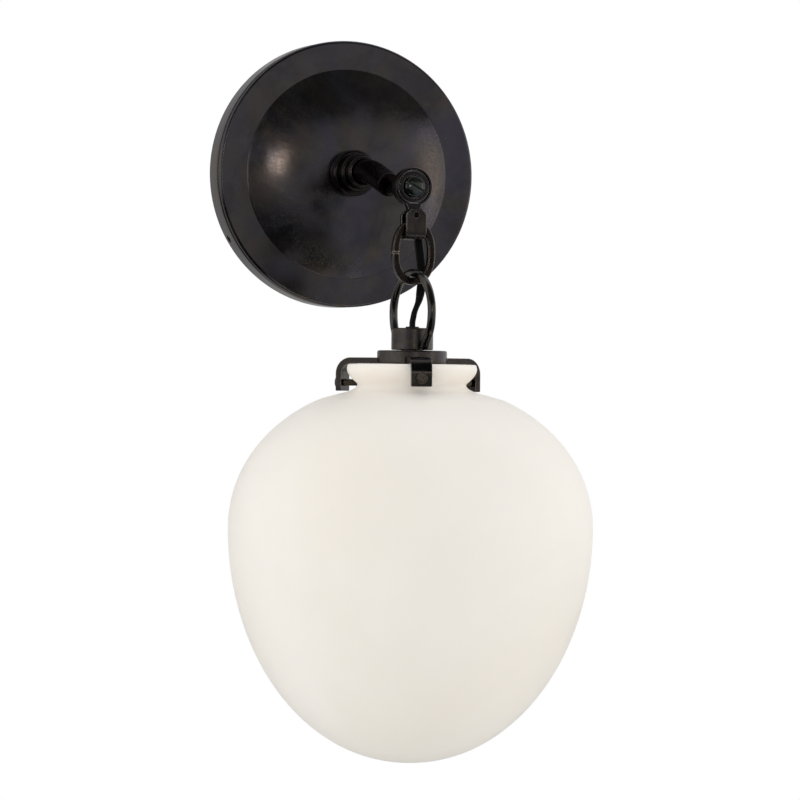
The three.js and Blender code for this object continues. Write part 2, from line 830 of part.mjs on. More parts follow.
function shacklePin() {
  const seat = shackleOuter + gap;
  const end = seat + pinHeadThickness;
  const half = [[pinRadius, seat], [pinHeadRadius, seat], [pinHeadRadius * pinCrownShare, end], [0, end]];
  const mirrored = half.map(([radius, height]) => [radius, -height]).reverse();
  return outward(turned([...mirrored, ...half], smallSides)).translate(0, -plumbOut, -pinDrop);
}

// Chain link

function linkOval(halfWidth, halfHeight) {
  const power = 2 / linkFullness;
  const bulge = (value) => Math.sign(value) * Math.abs(value) ** power;
  return Array.from({ length: linkSides }, (_, i) => {
    const angle = (2 * Math.PI * i) / linkSides;
    return new THREE.Vector2(halfWidth * bulge(Math.cos(angle)), halfHeight * bulge(Math.sin(angle)));
  });
}

function chainLink() {
  const shape = new THREE.Shape(linkOval(linkHalfWidth, linkHalfHeight));
  shape.holes.push(new THREE.Path(linkOval(linkInnerHalfWidth, linkInnerHalfHeight)));
  const band = facing(slab(shape, linkDepth, linkEdge));
  const seam = box(linkBand + 2 * overrun, linkDepth + 2 * overrun, linkSeam);
  const link = cut(band, seam.translate(-(linkHalfWidth - linkBand / 2), 0, 0));
  return link.translate(0, -plumbOut, -linkCentre);
}

// Bow

function bowCurve() {
  const foot = discTop - gap;
  const widest = bowTop + bowWidestDrop;
  const at = (out, drop) => new THREE.Vector3(0, -out, -drop);
  const side = (sign) => {
    const crown = [
      at(0, bowTop),
      at(sign * bowHalfWidth * bowCrownShare, bowTop),
      at(sign * bowHalfWidth, widest - bowWidestDrop * bowFlankShare),
      at(sign * bowHalfWidth, widest),
    ];
    const flank = [
      at(sign * bowHalfWidth, widest),
      at(sign * bowHalfWidth, widest + (foot - widest) * bowHeelShare),
      at(
        sign * (bowFootRadius + (bowHalfWidth - bowFootRadius) * bowToeShares[1]),
        foot - (foot - widest) * bowToeShares[1],
      ),
      at(sign * bowFootRadius, foot),
    ];
    return [crown, flank];
  };
  const path = new THREE.CurvePath();
  const [frontCrown, frontFlank] = side(1);
  const [backCrown, backFlank] = side(-1);
  path.add(new THREE.CubicBezierCurve3(...frontFlank.reverse()));
  path.add(new THREE.CubicBezierCurve3(...frontCrown.reverse()));
  path.add(new THREE.CubicBezierCurve3(...backCrown));
  path.add(new THREE.CubicBezierCurve3(...backFlank));
  return path;
}

function bow() {
  const wire = swept(disc(bowWire, wireSides), bowCurve(), bowSteps);
  const size = 4 * bowHalfWidth;
  const below = box(size, size, size).translate(0, 0, -(discTop - gap) - size / 2);
  return cut(wire, below).rotateZ(radians(bowTurnDegrees)).translate(0, -plumbOut, 0);
}

// Holder, all on the plumb line

function hub() {
  const bottom = hubTop + hubHeight;
  const profile = closedLoop([
    [bushingRadius - bushingStem, hubTop],
    [hubRadius - hubEdge, hubTop],
    [hubRadius, hubTop + hubEdge],
    [hubRadius, bottom],
    [stemRadius + gap, bottom],
    [stemRadius + gap, hubTop + hubRoof],
    [bushingRadius - bushingStem, hubTop + hubRoof],
  ]);
  return hanging(turned(profile));
}

function hubBushing() {
  const bore = cordRadius + gap;
  const stem = bushingRadius - bushingStem - gap;
  const top = hubTop - gap - bushingHeight;
  const profile = closedLoop([
    [bore, top],
    [bushingRadius - bushingHeight / 2, top],
    [bushingRadius, hubTop - gap - bushingHeight / 2],
    [bushingRadius, hubTop - gap],
    [stem, hubTop - gap],
    [stem, hubTop + hubRoof],
    [bore, hubTop + hubRoof],
  ]);
  return hanging(turned(profile, smallSides));
}

function holderDisc() {
  const profile = closedLoop([
    [stemRadius + gap, discTop],
    [discRadius - discEdge, discTop],
    [discRadius, discTop + discEdge],
    [discRadius, discBottom],
    [stemRadius + gap, discBottom],
  ]);
  const length = discRadius - clawInner + gap + overrun;
  const height = clawThickness + gap + overrun;
  const slots = Array.from({ length: clawCount }, (_, i) => {
    const slot = box(clawWidth + 2 * gap, length, height);
    slot.translate(0, -(clawInner - gap + length / 2), -(clawTop - gap + height / 2));
    return slot.rotateZ(clawAngle(i));
  });
  return cut(hanging(turned(profile)), ...slots);
}

const clawAngle = (index) => radians(clawTurnDegrees + (360 * index) / clawCount);

// The level of the shade's shoulder at a radius
function shoulderLevel(radius) {
  const rise = Math.sqrt(1 - (radius / shadeRadius) ** shoulderFullness);
  return shadeWidest - shoulderHeight * rise;
}

const clawBottom = (index) => shoulderLevel(clawReach - clawThickness) - clawFootRooms[index];
const clawScrewLevel = (index) => clawBottom(index) - clawScrewAboveEnd;

function claw(index) {
  const inner = clawBend - clawThickness;
  const bendOut = clawReach - clawBend;
  const bendDown = -(clawTop + clawBend);
  const shape = new THREE.Shape();
  shape.moveTo(clawInner, -clawTop);
  shape.lineTo(clawInner, -(clawTop + clawThickness));
  shape.absarc(bendOut, bendDown, inner, Math.PI / 2, 0, true);
  shape.lineTo(clawReach - clawThickness, -clawBottom(index));
  shape.lineTo(clawReach, -clawBottom(index));
  shape.absarc(bendOut, bendDown, clawBend, 0, Math.PI / 2, false);
  const strip = sideways(slab(shape, clawWidth, clawEdge, 6));
  const bore = outward(rod(clawScrewRadius + gap, clawReach - 2 * clawThickness, clawReach + overrun));
  return cut(strip, bore.translate(0, 0, -clawScrewLevel(index))).rotateZ(clawAngle(index));
}

// The neck's outer radius at a level between the lip and the waist
function neckRadius(level) {
  const share = (level - lipTop - lipHeight) / (waistLevel - lipTop - lipHeight);
  return lipRadius + (waistRadius - lipRadius) * Math.min(Math.max(share, 0), 1);
}

function clawScrew(index) {
  const level = clawScrewLevel(index);
  const tip = neckRadius(level - clawScrewPoint) + clawScrewStandoff;
  const seat = clawReach + gap;
  const end = seat + clawScrewHeadLength;
  const rounding = clawScrewHeadLength / 5;
  const profile = [
    [0, tip],
    [clawScrewPoint, tip],
    [clawScrewRadius, tip + clawScrewTip],
    [clawScrewRadius, seat],
    [clawScrewHeadRadius, seat],
    [clawScrewHeadRadius, end - rounding],
    [clawScrewHeadRadius - rounding, end],
    [0, end],
  ];
  const socket = outward(rod(clawScrewSocketRadius, end - clawScrewSocketDepth, end + overrun, hexSides));
  const screw = cut(outward(turned(profile, smallSides)), socket);
  return screw.translate(0, 0, -level).rotateZ(clawAngle(index));
}

const clampPlate = () => hanging(ring(clampRadius, stemRadius + gap, clampTop, clampTop + clampThickness));
const holderStem = () => hanging(ring(stemRadius, stemBore, stemTop, stemBottom, smallSides));
const stemNut = () =>
  hexNut(stemNutRadius, stemRadius + gap, stemNutTop, stemNutTop + stemNutThickness, hanging);

// Socket and bulb

function socketBody() {
  const bottom = socketTop + socketLength;
  const profile = closedLoop([
    [stemRadius + gap, socketTop],
    [socketRadius, socketTop],
    [socketRadius, bottom],
    [socketBore, bottom],
    [socketBore, socketTop + socketRoof],
    [stemBore, socketTop + socketRoof],
    [stemBore, stemBottom + gap],
    [stemRadius + gap, stemBottom + gap],
  ]);
  return hanging(turned(profile));
}

const socketShell = () =>
  hanging(
    ring(socketShellRadius, socketShellRadius - socketShellWall, shellTop, shellTop + socketShellLength, smallSides),
  );

function socketContact() {
  const top = socketTop + socketRoof + gap;
  return hanging(rod(socketBore - gap, top, top + socketContactThickness));
}

function bulbBase() {
  const shoulder = bulbTop + bulbBaseTip;
  const bottom = shoulder + bulbBaseLength;
  const turns = Math.floor((bulbBaseLength * bulbThreadShare) / threadPitch);
  const thread = Array.from({ length: turns }, (_, i) => {
    const level = shoulder + threadPitch * (i + 1);
    return [
      [bulbBaseRadius, level],
      [bulbBaseRadius - threadDepth, level + threadPitch / 2],
    ];
  }).flat();
  const profile = [
    [0, bulbTop],
    [bulbBaseTip, bulbTop],
    [bulbBaseRadius - bulbBaseTip, shoulder],
    [bulbBaseRadius - threadDepth, shoulder + threadPitch / 2],
    ...thread,
    [bulbBaseRadius, bottom],
    [0, bottom],
  ];
  return hanging(turned(profile, smallSides));
}

function bulbOuter(share) {
  if (share < bulbWidestShare) {
    const rise = (1 - Math.cos((Math.PI * share) / bulbWidestShare)) / 2;
    return bulbNeckRadius + (bulbRadius - bulbNeckRadius) * rise;
  }
  const fall = (share - bulbWidestShare) / (1 - bulbWidestShare);
  return bulbRadius * Math.sqrt(1 - fall ** 2) * (1 - bulbTipShare * fall);
}

function bulbGlass() {
  const steps = 11;
  const wall = (thickness) =>
    Array.from({ length: steps + 1 }, (_, i) => {
      const share = Math.sin((i / steps) * (Math.PI / 2)) ** bulbSpacing;
      const level = bulbGlassTop + (bulbLength - thickness) * share;
      return [Math.max(bulbOuter(share) - thickness, 0), level];
    });
  const profile = [...wall(0), ...wall(bulbWall).reverse()];
  return hanging(turned(closedLoop(profile), roundSides));
}

// Shade

function shadeOutline(inset) {
  const radius = shadeRadius - inset;
  const shoulderRise = shoulderHeight - inset;
  const bellyDrop = bellyDepth - inset;
  const joinShare = ((shoulderRadius - inset) / radius) ** shoulderFullness;
  const joinRise = shoulderRise * Math.sqrt(1 - joinShare);
  const shoulderSteps = inset > 0 ? 5 : 9;
  const bellySteps = inset > 0 ? 7 : 11;
  const shoulder = Array.from({ length: shoulderSteps }, (_, i) => {
    const rise = (joinRise / shoulderRise) * Math.cos(((Math.PI / 2) * i) / shoulderSteps) ** shoulderSpacing;
    return [radius * (1 - rise ** 2) ** (1 / shoulderFullness), shadeWidest - shoulderRise * rise];
  });
  const belly = Array.from({ length: bellySteps + 1 }, (_, i) => {
    const fall = Math.sin(((Math.PI / 2) * i) / bellySteps);
    return [radius * Math.max(1 - fall ** 2, 0) ** (1 / bellyFullness), shadeWidest + bellyDrop * fall];
  });
  return [...shoulder, ...belly];
}

function shade() {
  const outer = shadeOutline(0);
  const inner = shadeOutline(glassWall);
  const round = glassWall / 3;
  const neckCurve = new THREE.QuadraticBezierCurve(
    new THREE.Vector2(waistRadius, waistLevel),
    new THREE.Vector2(waistRadius + glassWall / 2, outer[0][1] - glassWall / 4),
    new THREE.Vector2(outer[0][0], outer[0][1]),
  );
  const neck = neckCurve.getPoints(3).slice(0, -1).map(({ x, y }) => [x, y]);
  const profile = [
    ...inner.slice().reverse(),
    [waistRadius - glassWall, waistLevel + glassWall],
    [waistRadius - glassWall, waistLevel],
    [lipRadius - glassWall - round, lipTop + lipHeight],
    [lipRadius - glassWall - round, lipTop + round],
    [lipRadius - glassWall, lipTop],
    [lipRadius - round, lipTop],
    [lipRadius, lipTop + round],
    [lipRadius, lipTop + lipHeight],
    ...neck,
    ...outer,
  ];
  return hanging(turned(profile, fineSides));
}

// Materials, by finish
const finishes = {
  bronze: { color: 0x3a373b, roughness: 0.42, metalness: 0.9 },
  darkBronze: { color: 0x2b2829, roughness: 0.45, metalness: 0.9 },
  zinc: { color: 0xa3a4a0, roughness: 0.5, metalness: 0.9 },
  brass: { color: 0xb8924f, roughness: 0.4, metalness: 0.95 },
  opal: { color: 0xeee7dd, roughness: 0.3, metalness: 0 },
  frosted: { color: 0xf3efe6, roughness: 0.5, metalness: 0 },
  phenolic: { color: 0x1b1a19, roughness: 0.5, metalness: 0 },
  cord: { color: 0x141414, roughness: 0.6, metalness: 0 },
  white: { color: 0xdedcd4, roughness: 0.6, metalness: 0 },
  green: { color: 0x2f6a3c, roughness: 0.45, metalness: 0.5 },
};

const sconce = new THREE.Group();
const holder = new THREE.Group();
holder.position.set(0, -plumbOut, 0);
sconce.add(holder);

function add(parent, name, finish, geometry) {
  const mesh = new THREE.Mesh(welded(geometry), new THREE.MeshStandardMaterial(finishes[finish]));
  mesh.name = name;
  parent.add(mesh);
}

add(sconce, 'backplate', 'bronze', backplate());
add(sconce, 'mounting_pan', 'zinc', mountingPan());
sideScrewNames.forEach((place, i) => {
  add(sconce, `side_screw_${place}`, 'darkBronze', sideScrew(sideScrewDegrees(i)));
});
add(sconce, 'ground_screw', 'green', groundScrew());
add(sconce, 'ground_lead', 'green', groundLead());
add(sconce, 'wire_connector_left', 'white', wireConnector(-1));
add(sconce, 'wire_connector_right', 'white', wireConnector(1));
add(sconce, 'lead_left', 'cord', splitLead(-1));
add(sconce, 'lead_right', 'white', splitLead(1));
add(sconce, 'supply_cord', 'cord', swept(disc(cordRadius, cordSides), smoothThrough(supplyPoints), supplySteps));
add(sconce, 'arm_collar', 'bronze', collar());
add(sconce, 'arm_nipple', 'zinc', armNipple());
add(sconce, 'lock_washer', 'zinc', lockWasher());
add(sconce, 'lock_nut', 'zinc', lockNut());
add(sconce, 'arm_tube', 'darkBronze', armTube());
add(sconce, 'arm_spindle', 'darkBronze', spindle());
add(sconce, 'arm_bushing', 'phenolic', exitBushing());
add(sconce, 'knuckle', 'bronze', knuckle());
add(sconce, 'pivot_screw', 'bronze', pivotScrew());
add(sconce, 'shackle_pin', 'darkBronze', shacklePin());
add(sconce, 'shackle', 'bronze', shackle());
add(sconce, 'chain_link', 'bronze', chainLink());
add(sconce, 'bow', 'bronze', bow());
cordNames.forEach((place, i) => add(sconce, `cord_${place}`, 'cord', cordPart(i)));

add(holder, 'hub', 'darkBronze', hub());
add(holder, 'hub_bushing', 'phenolic', hubBushing());
add(holder, 'holder_disc', 'darkBronze', holderDisc());
clawNames.forEach((place, i) => {
  add(holder, `claw_${place}`, 'darkBronze', claw(i));
  add(holder, `claw_screw_${place}`, 'darkBronze', clawScrew(i));
});
add(holder, 'clamp_plate', 'darkBronze', clampPlate());
add(holder, 'holder_stem', 'zinc', holderStem());
add(holder, 'stem_nut', 'zinc', stemNut());
add(holder, 'socket_body', 'phenolic', socketBody());
add(holder, 'socket_shell', 'brass', socketShell());
add(holder, 'socket_contact', 'brass', socketContact());
add(holder, 'bulb_base', 'brass', bulbBase());
add(holder, 'bulb_glass', 'frosted', bulbGlass());
add(holder, 'glass_shade', 'opal', shade());

export default sconce;
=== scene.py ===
import math

import bmesh
import bpy
from mathutils import Matrix, Vector, geometry

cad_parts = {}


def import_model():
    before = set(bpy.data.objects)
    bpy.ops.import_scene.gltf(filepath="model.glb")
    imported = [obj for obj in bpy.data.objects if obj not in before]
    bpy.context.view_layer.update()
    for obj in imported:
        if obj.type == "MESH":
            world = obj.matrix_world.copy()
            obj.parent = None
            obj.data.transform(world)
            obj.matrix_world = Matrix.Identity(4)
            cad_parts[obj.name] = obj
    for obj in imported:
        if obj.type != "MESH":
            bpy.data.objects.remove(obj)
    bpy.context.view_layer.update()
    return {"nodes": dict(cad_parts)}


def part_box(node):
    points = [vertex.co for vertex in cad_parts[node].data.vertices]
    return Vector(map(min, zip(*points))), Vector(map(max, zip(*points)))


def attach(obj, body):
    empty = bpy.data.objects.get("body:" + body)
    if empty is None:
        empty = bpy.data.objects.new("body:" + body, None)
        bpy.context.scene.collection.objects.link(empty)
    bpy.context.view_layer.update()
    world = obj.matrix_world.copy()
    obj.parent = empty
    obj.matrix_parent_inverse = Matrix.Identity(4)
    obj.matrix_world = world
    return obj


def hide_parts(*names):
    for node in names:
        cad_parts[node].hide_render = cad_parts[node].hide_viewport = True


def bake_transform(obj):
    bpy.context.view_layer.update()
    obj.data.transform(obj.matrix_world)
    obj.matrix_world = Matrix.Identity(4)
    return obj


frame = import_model()

# Lengths are in millimetres up to the point where a mesh is made. The frame is in metres:
# +Z up, +Y into the wall, origin in the middle of the wall plate on the wall.
MM = 0.001
GAP = 0.3
SLIVER = 0.003  # corners closer than this are one

# Camera, as the photograph was taken: level, from the left, with a slight roll
VIEW_AZIMUTH = math.radians(-19)
SIDEWAYS = Vector((math.cos(VIEW_AZIMUTH), math.sin(VIEW_AZIMUTH), 0))
CAMERA_PLACE = Vector((-692.7, -2103.7, -102.0))
CAMERA_FIELD = math.radians(9.406)
CAMERA_ROLL = math.radians(0.56)
CAMERA_REACH = 30  # metres

# The plumb line that the lamp hangs on
PLUMB_OUT = 107.5

# Cord: the same points as in the solids, here with its real flat section
CORD_POINTS = [
    (5.36, -64.26, -8.92), (6.05, -64.1, -9.48), (7.4, -64.7, -10.3),
    (8.9, -67.5, -11.2), (9.8, -73, -12.2), (10, -80, -13.2),
    (8.6, -87, -15.5), (7.4, -93, -19.5), (6.2, -97.4, -24.6),
    (4.9, -99.8, -30.5), (5.4, -100.6, -37), (6.1, -100.8, -43),
    (6.6, -100.8, -48.4), (6, -101.2, -53), (4.6, -102.8, -58.4),
    (1.9, -105.2, -63.2), (0.6, -106.9, -66.2), (0, -107.5, -68.4),
    (0, -107.5, -71.6), (0, -107.5, -75), (0, -107.5, -84),
    (0, -107.5, -96.6),
]
CORD_SEAM_SHARES = [0, 0.36, 0.64, 1]
CORD_LOBE = 1.1  # radius of each of its two cores
CORD_SPREAD = 0.8  # from its middle to the middle of a core
CORD_STEP = 0.7
# Where its flat side turns from facing the room to edge-on, by height
CORD_TURN_HEIGHTS = (-52.0, -62.0)
CORD_TURN = math.radians(72)


def camera():
    data = bpy.data.cameras.new("camera")
    data.sensor_fit = "HORIZONTAL"
    data.angle = CAMERA_FIELD
    data.clip_end = CAMERA_REACH
    eye = bpy.data.objects.new("camera", data)
    bpy.context.scene.collection.objects.link(eye)
    back = Vector((math.sin(VIEW_AZIMUTH), -math.cos(VIEW_AZIMUTH), 0))
    up = Vector((0, 0, 1))
    right = SIDEWAYS * math.cos(CAMERA_ROLL) + up * math.sin(CAMERA_ROLL)
    top = up * math.cos(CAMERA_ROLL) - SIDEWAYS * math.sin(CAMERA_ROLL)
    turn = Matrix((right, top, back)).transposed().to_4x4()
    eye.matrix_world = Matrix.Translation(CAMERA_PLACE * MM) @ turn
    bpy.context.scene.camera = eye


# Meshes

ON_AXIS = 1e-6  # a smaller radius is on the axis
SPLINE_SHARES = 24
EDGE_SEGMENTS = 3


def lathe(profile, sides=96):
    """A turned form: a profile of (radius, height), closed on itself or through the axis."""
    form = bmesh.new()
    angles = [2 * math.pi * i / sides for i in range(sides)]
    rings = []
    for radius, height in profile:
        if radius < ON_AXIS:
            ring = [(0, 0, height)]
        else:
            ring = [(radius * math.cos(a), radius * math.sin(a), height) for a in angles]
        rings.append([form.verts.new(place) for place in ring])
    for near, far in zip(rings, rings[1:] + rings[:1]):
        for i in range(sides):
            j = (i + 1) % sides
            corners = [near[i % len(near)], near[j % len(near)], far[j % len(far)], far[i % len(far)]]
            corners = list(dict.fromkeys(corners))
            if len(corners) > 2:
                form.faces.new(corners)
    return form


def sweep(path, section, across, closed=False, turns=None, widths=None):
    """A section of (u, v) points moved along a path; u runs along across at the start of the path."""
    form = bmesh.new()
    count = len(path)
    tangents = []
    for i in range(count):
        after = path[(i + 1) % count] if closed or i < count - 1 else path[i]
        before = path[i - 1] if closed or i > 0 else path[i]
        tangents.append((after - before).normalized())
    normal = Vector(across)
    normal = (normal - normal.dot(tangents[0]) * tangents[0]).normalized()
    rings = []
    for i, tangent in enumerate(tangents):
        if i > 0:
            normal = tangents[i - 1].rotation_difference(tangent) @ normal
            normal = (normal - normal.dot(tangent) * tangent).normalized()
        first = normal if turns is None else Matrix.Rotation(turns[i], 3, tangent) @ normal
        second = tangent.cross(first)
        wide = 1 if widths is None else widths[i]
        rings.append([form.verts.new(path[i] + first * u * wide + second * v) for u, v in section])
    pairs = list(zip(rings, rings[1:]))
    if closed:
        pairs.append((rings[-1], rings[0]))
    else:
        form.faces.new(rings[0])
        form.faces.new(list(reversed(rings[-1])))
    size = len(section)
    for near, far in pairs:
        for i in range(size):
            j = (i + 1) % size
            form.faces.new((near[i], near[j], far[j], far[i]))
    return form


def slab(outline, thickness, across, up, place):
    """An outline of (u, v) points thickened evenly to both sides of its plane."""
    across, up = Vector(across), Vector(up)
    through = across.cross(up)
    form = bmesh.new()
    sides = []
    for half in (-thickness / 2, thickness / 2):
        corners = [Vector(place) + across * u + up * v + through * half for u, v in outline]
        sides.append([form.verts.new(corner) for corner in corners])
    form.faces.new(sides[0])
    form.faces.new(list(reversed(sides[1])))
    size = len(outline)
    for i in range(size):
        j = (i + 1) % size
        form.faces.new((sides[0][i], sides[0][j], sides[1][j], sides[1][i]))
    return form


def arc(centre_u, centre_v, radius, start, end, steps=6):
    """Points on an arc, with its angles in degrees."""
    angles = [math.radians(start + (end - start) * i / steps) for i in range(steps + 1)]
    return [(centre_u + radius * math.cos(a), centre_v + radius * math.sin(a)) for a in angles]


def circle(radius, sides):
    return arc(0, 0, radius, 0, 360 * (1 - 1 / sides), sides - 1)


def rectangle(half_u, half_v):
    return [(-half_u, -half_v), (half_u, -half_v), (half_u, half_v), (-half_u, half_v)]


def rounded(half_u, half_v, edge, steps):
    """A rectangle's outline with rounded corners."""
    u, v = half_u - edge, half_v - edge
    points = []
    for quarter, (x, y) in enumerate(((u, v), (-u, v), (-u, -v), (u, -v))):
        points += arc(x, y, edge, 90 * quarter, 90 * (quarter + 1), steps)
    return points


def smooth_step(share):
    share = min(max(share, 0), 1)
    return share * share * (3 - 2 * share)


def bezier(points, steps):
    """Points on a cubic Bezier curve."""
    a, b, c, d = (Vector(p) for p in points)
    return geometry.interpolate_bezier(a, b, c, d, steps)


def spline(points, step):
    """Points a step apart on a smooth curve through the given points."""
    points = [Vector(p) for p in points]
    ends = [2 * points[0] - points[1]] + points + [2 * points[-1] - points[-2]]
    dense = []
    for i in range(1, len(ends) - 2):
        before, a, b, after = ends[i - 1 : i + 3]
        leave, arrive = (b - before) / 2, (after - a) / 2
        for k in range(SPLINE_SHARES):
            t = k / SPLINE_SHARES
            dense.append(
                (2 * t**3 - 3 * t**2 + 1) * a
                + (t**3 - 2 * t**2 + t) * leave
                + (3 * t**2 - 2 * t**3) * b
                + (t**3 - t**2) * arrive
            )
    dense.append(points[-1])
    return evenly(dense, step)


def distances(line):
    """How far along a line each of its points is."""
    reach = [0]
    for a, b in zip(line, line[1:]):
        reach.append(reach[-1] + (b - a).length)
    return reach


def evenly(dense, step):
    """The same line with its points evenly spaced, about a step apart."""
    reach = distances(dense)
    count = max(round(reach[-1] / step), 2)
    line, at = [], 0
    for k in range(count + 1):
        want = reach[-1] * k / count
        while at < len(dense) - 2 and reach[at + 1] < want:
            at += 1
        span = reach[at + 1] - reach[at]
        line.append(dense[at].lerp(dense[at + 1], (want - reach[at]) / span if span > 0 else 0))
    return line


# Places: a form's heights run out from the wall, down the plumb line or along a direction

OUTWARD = Matrix(((1, 0, 0, 0), (0, 0, -1, 0), (0, 1, 0, 0), (0, 0, 0, 1)))
HANGING = Matrix.Translation((0, -PLUMB_OUT, 0)) @ Matrix.Diagonal((1, 1, -1, 1))


def facing_out(drop):
    """Heights run out from the wall, round a level axis at a drop below the plate's middle."""
    return Matrix.Translation((0, 0, -drop)) @ OUTWARD


def towards(place, direction):
    """Heights run from a place along a direction."""
    turn = Vector((0, 0, 1)).rotation_difference(Vector(direction)).to_matrix().to_4x4()
    return Matrix.Translation(place) @ turn


def placed(form, matrix):
    bmesh.ops.transform(form, matrix=matrix, verts=form.verts)
    return form


def drill(radius, start, end, place, direction, sides=32):
    """The round tool that cuts a hole along a direction, between two distances from a place."""
    profile = [(0, start), (radius, start), (radius, end), (0, end)]
    return placed(lathe(profile, sides), towards(place, direction))


def plain_object(name, form):
    bmesh.ops.recalc_face_normals(form, faces=form.faces)
    bmesh.ops.scale(form, vec=(MM, MM, MM), verts=form.verts)
    mesh = bpy.data.meshes.new(name)
    form.to_mesh(mesh)
    form.free()
    made = bpy.data.objects.new(name, mesh)
    bpy.context.scene.collection.objects.link(made)
    return made


def settle(made):
    """Turns what the modifiers make into the piece's own mesh."""
    seen = made.evaluated_get(bpy.context.evaluated_depsgraph_get())
    mesh = bpy.data.meshes.new_from_object(seen)
    made.modifiers.clear()
    made.data = mesh
    mesh.name = made.name


def change(made, cutters, operation):
    others = [plain_object(made.name + "_tool", cutter) for cutter in cutters]
    for other in others:
        step = made.modifiers.new("shape", "BOOLEAN")
        step.operation = operation
        step.solver = "EXACT"
        step.object = other
    settle(made)
    for other in others:
        bpy.data.objects.remove(other, do_unlink=True)


def soften(made, width, angle):
    """Rounds every edge that turns by more than the angle."""
    step = made.modifiers.new("edges", "BEVEL")
    step.width = width * MM
    step.segments = EDGE_SEGMENTS
    step.limit_method = "ANGLE"
    step.angle_limit = math.radians(angle)
    settle(made)


def smooth_shading(made, angle):
    """Clears slivers, then shades smoothly between faces that meet at less than the angle."""
    work = bmesh.new()
    work.from_mesh(made.data)
    bmesh.ops.remove_doubles(work, verts=work.verts, dist=SLIVER * MM)
    bmesh.ops.dissolve_degenerate(work, edges=work.edges, dist=SLIVER * MM)
    for face in work.faces:
        face.smooth = True
    for edge in work.edges:
        edge.smooth = len(edge.link_faces) == 2 and edge.calc_face_angle(0) < math.radians(angle)
    work.to_mesh(made.data)
    work.free()
    step = made.modifiers.new("normals", "WEIGHTED_NORMAL")
    step.keep_sharp = True
    settle(made)


def piece(
    name, form, body, material, node,
    cuts=(), joins=(), holes=(), edge=0, edge_angle=38, crease=32,
):
    """One visible piece in place of its CAD node. Its cuts are rounded with it and its holes stay sharp."""
    made = plain_object(name, form)
    if joins:
        change(made, joins, "UNION")
    if cuts:
        change(made, cuts, "DIFFERENCE")
    if edge:
        soften(made, edge, edge_angle)
    if holes:
        change(made, holes, "DIFFERENCE")
    smooth_shading(made, crease)
    made.data.materials.clear()
    made.data.materials.append(material)
    if body:
        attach(made, body)
    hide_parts(node)
    return made


# Materials

# Fine detail: cells of noise to a metre, and depths of bump in metres
METAL_GRAIN = 900
MOULDED_GRAIN = 1400
PLATED_GRAIN = 1500
FINE_DEPTH = 0.0001
MOTTLE_DEPTH = 0.0003
WAVE_DEPTH = 0.001
SPOTS_TO_CLOUDS = 4.2  # how much finer than the clouds the spots of a patina are
BLUER, BROWNER = (0.92, 0.92, 1.12), (1.1, 1.0, 0.86)
BEVEL_SAMPLES = 6
# How well the rounded and the true normal agree beside an edge and on it
BESIDE_EDGE = 0.99
ON_EDGE = 0.88


class Nodes:
    """A short way to write a shader's nodes."""

    def __init__(self, tree):
        self.tree = tree
        tree.nodes.clear()

    def add(self, kind, inputs=(), **settings):
        node = self.tree.nodes.new("ShaderNode" + kind)
        for key, value in settings.items():
            setattr(node, key, value)
        for key, value in dict(inputs).items():
            if isinstance(value, bpy.types.NodeSocket):
                self.tree.links.new(value, node.inputs[key])
            else:
                node.inputs[key].default_value = value
        return node

    def noise(self, where, scale, detail=4.0, roughness=0.55, distortion=0.0):
        inputs = {"Vector": where, "Scale": scale, "Detail": detail, "Roughness": roughness}
        inputs["Distortion"] = distortion
        return self.add("TexNoise", inputs).outputs["Fac"]

    def ramp(self, value, low, high, out_low=0.0, out_high=1.0):
        inputs = {"Value": value, "From Min": low, "From Max": high, "To Min": out_low, "To Max": out_high}
        return self.add("MapRange", inputs, interpolation_type="SMOOTHSTEP").outputs["Result"]

    def mix(self, share, first, second):
        inputs = {0: share}
        for key, colour in ((6, first), (7, second)):
            inputs[key] = colour if isinstance(colour, bpy.types.NodeSocket) else (*colour, 1)
        return self.add("Mix", inputs, data_type="RGBA").outputs[2]

    def math(self, operation, first, second):
        return self.add("Math", {0: first, 1: second}, operation=operation).outputs[0]

    def bump(self, height, strength, distance, normal=None):
        inputs = {"Height": height, "Strength": strength, "Distance": distance}
        if normal is not None:
            inputs["Normal"] = normal
        return self.add("Bump", inputs).outputs["Normal"]

    def edges(self, reach):
        """1 on an edge and 0 from the reach on, which is in mm."""
        turned = self.add("Bevel", {"Radius": reach * MM}, samples=BEVEL_SAMPLES)
        plain = self.add("NewGeometry")
        both = {0: turned.outputs["Normal"], 1: plain.outputs["Normal"]}
        agree = self.add("VectorMath", both, operation="DOT_PRODUCT").outputs["Value"]
        return self.ramp(agree, BESIDE_EDGE, ON_EDGE)

    def rays(self):
        """1 for what the camera sees, also through glass, and 1 for what is mirrored."""
        path = self.add("LightPath").outputs
        seen = self.math("MAXIMUM", path["Is Camera Ray"], path["Is Transmission Ray"])
        return seen, path["Is Glossy Ray"]


def linear(colour):
    """The light of a colour that is written in 0 to 255."""
    shares = [c / 255 for c in colour]
    return tuple(c / 12.92 if c <= 0.04045 else ((c + 0.055) / 1.055) ** 2.4 for c in shares)


def new_material(name):
    """A material, its nodes and the place on the object."""
    material = bpy.data.materials.new(name)
    material.use_nodes = True
    nodes = Nodes(material.node_tree)
    return material, nodes, nodes.add("TexCoord").outputs["Object"]


def surface(nodes, **inputs):
    shader = nodes.add("BsdfPrincipled", {k.replace("_", " "): v for k, v in inputs.items()})
    nodes.add("OutputMaterial", {"Surface": shader.outputs["BSDF"]})


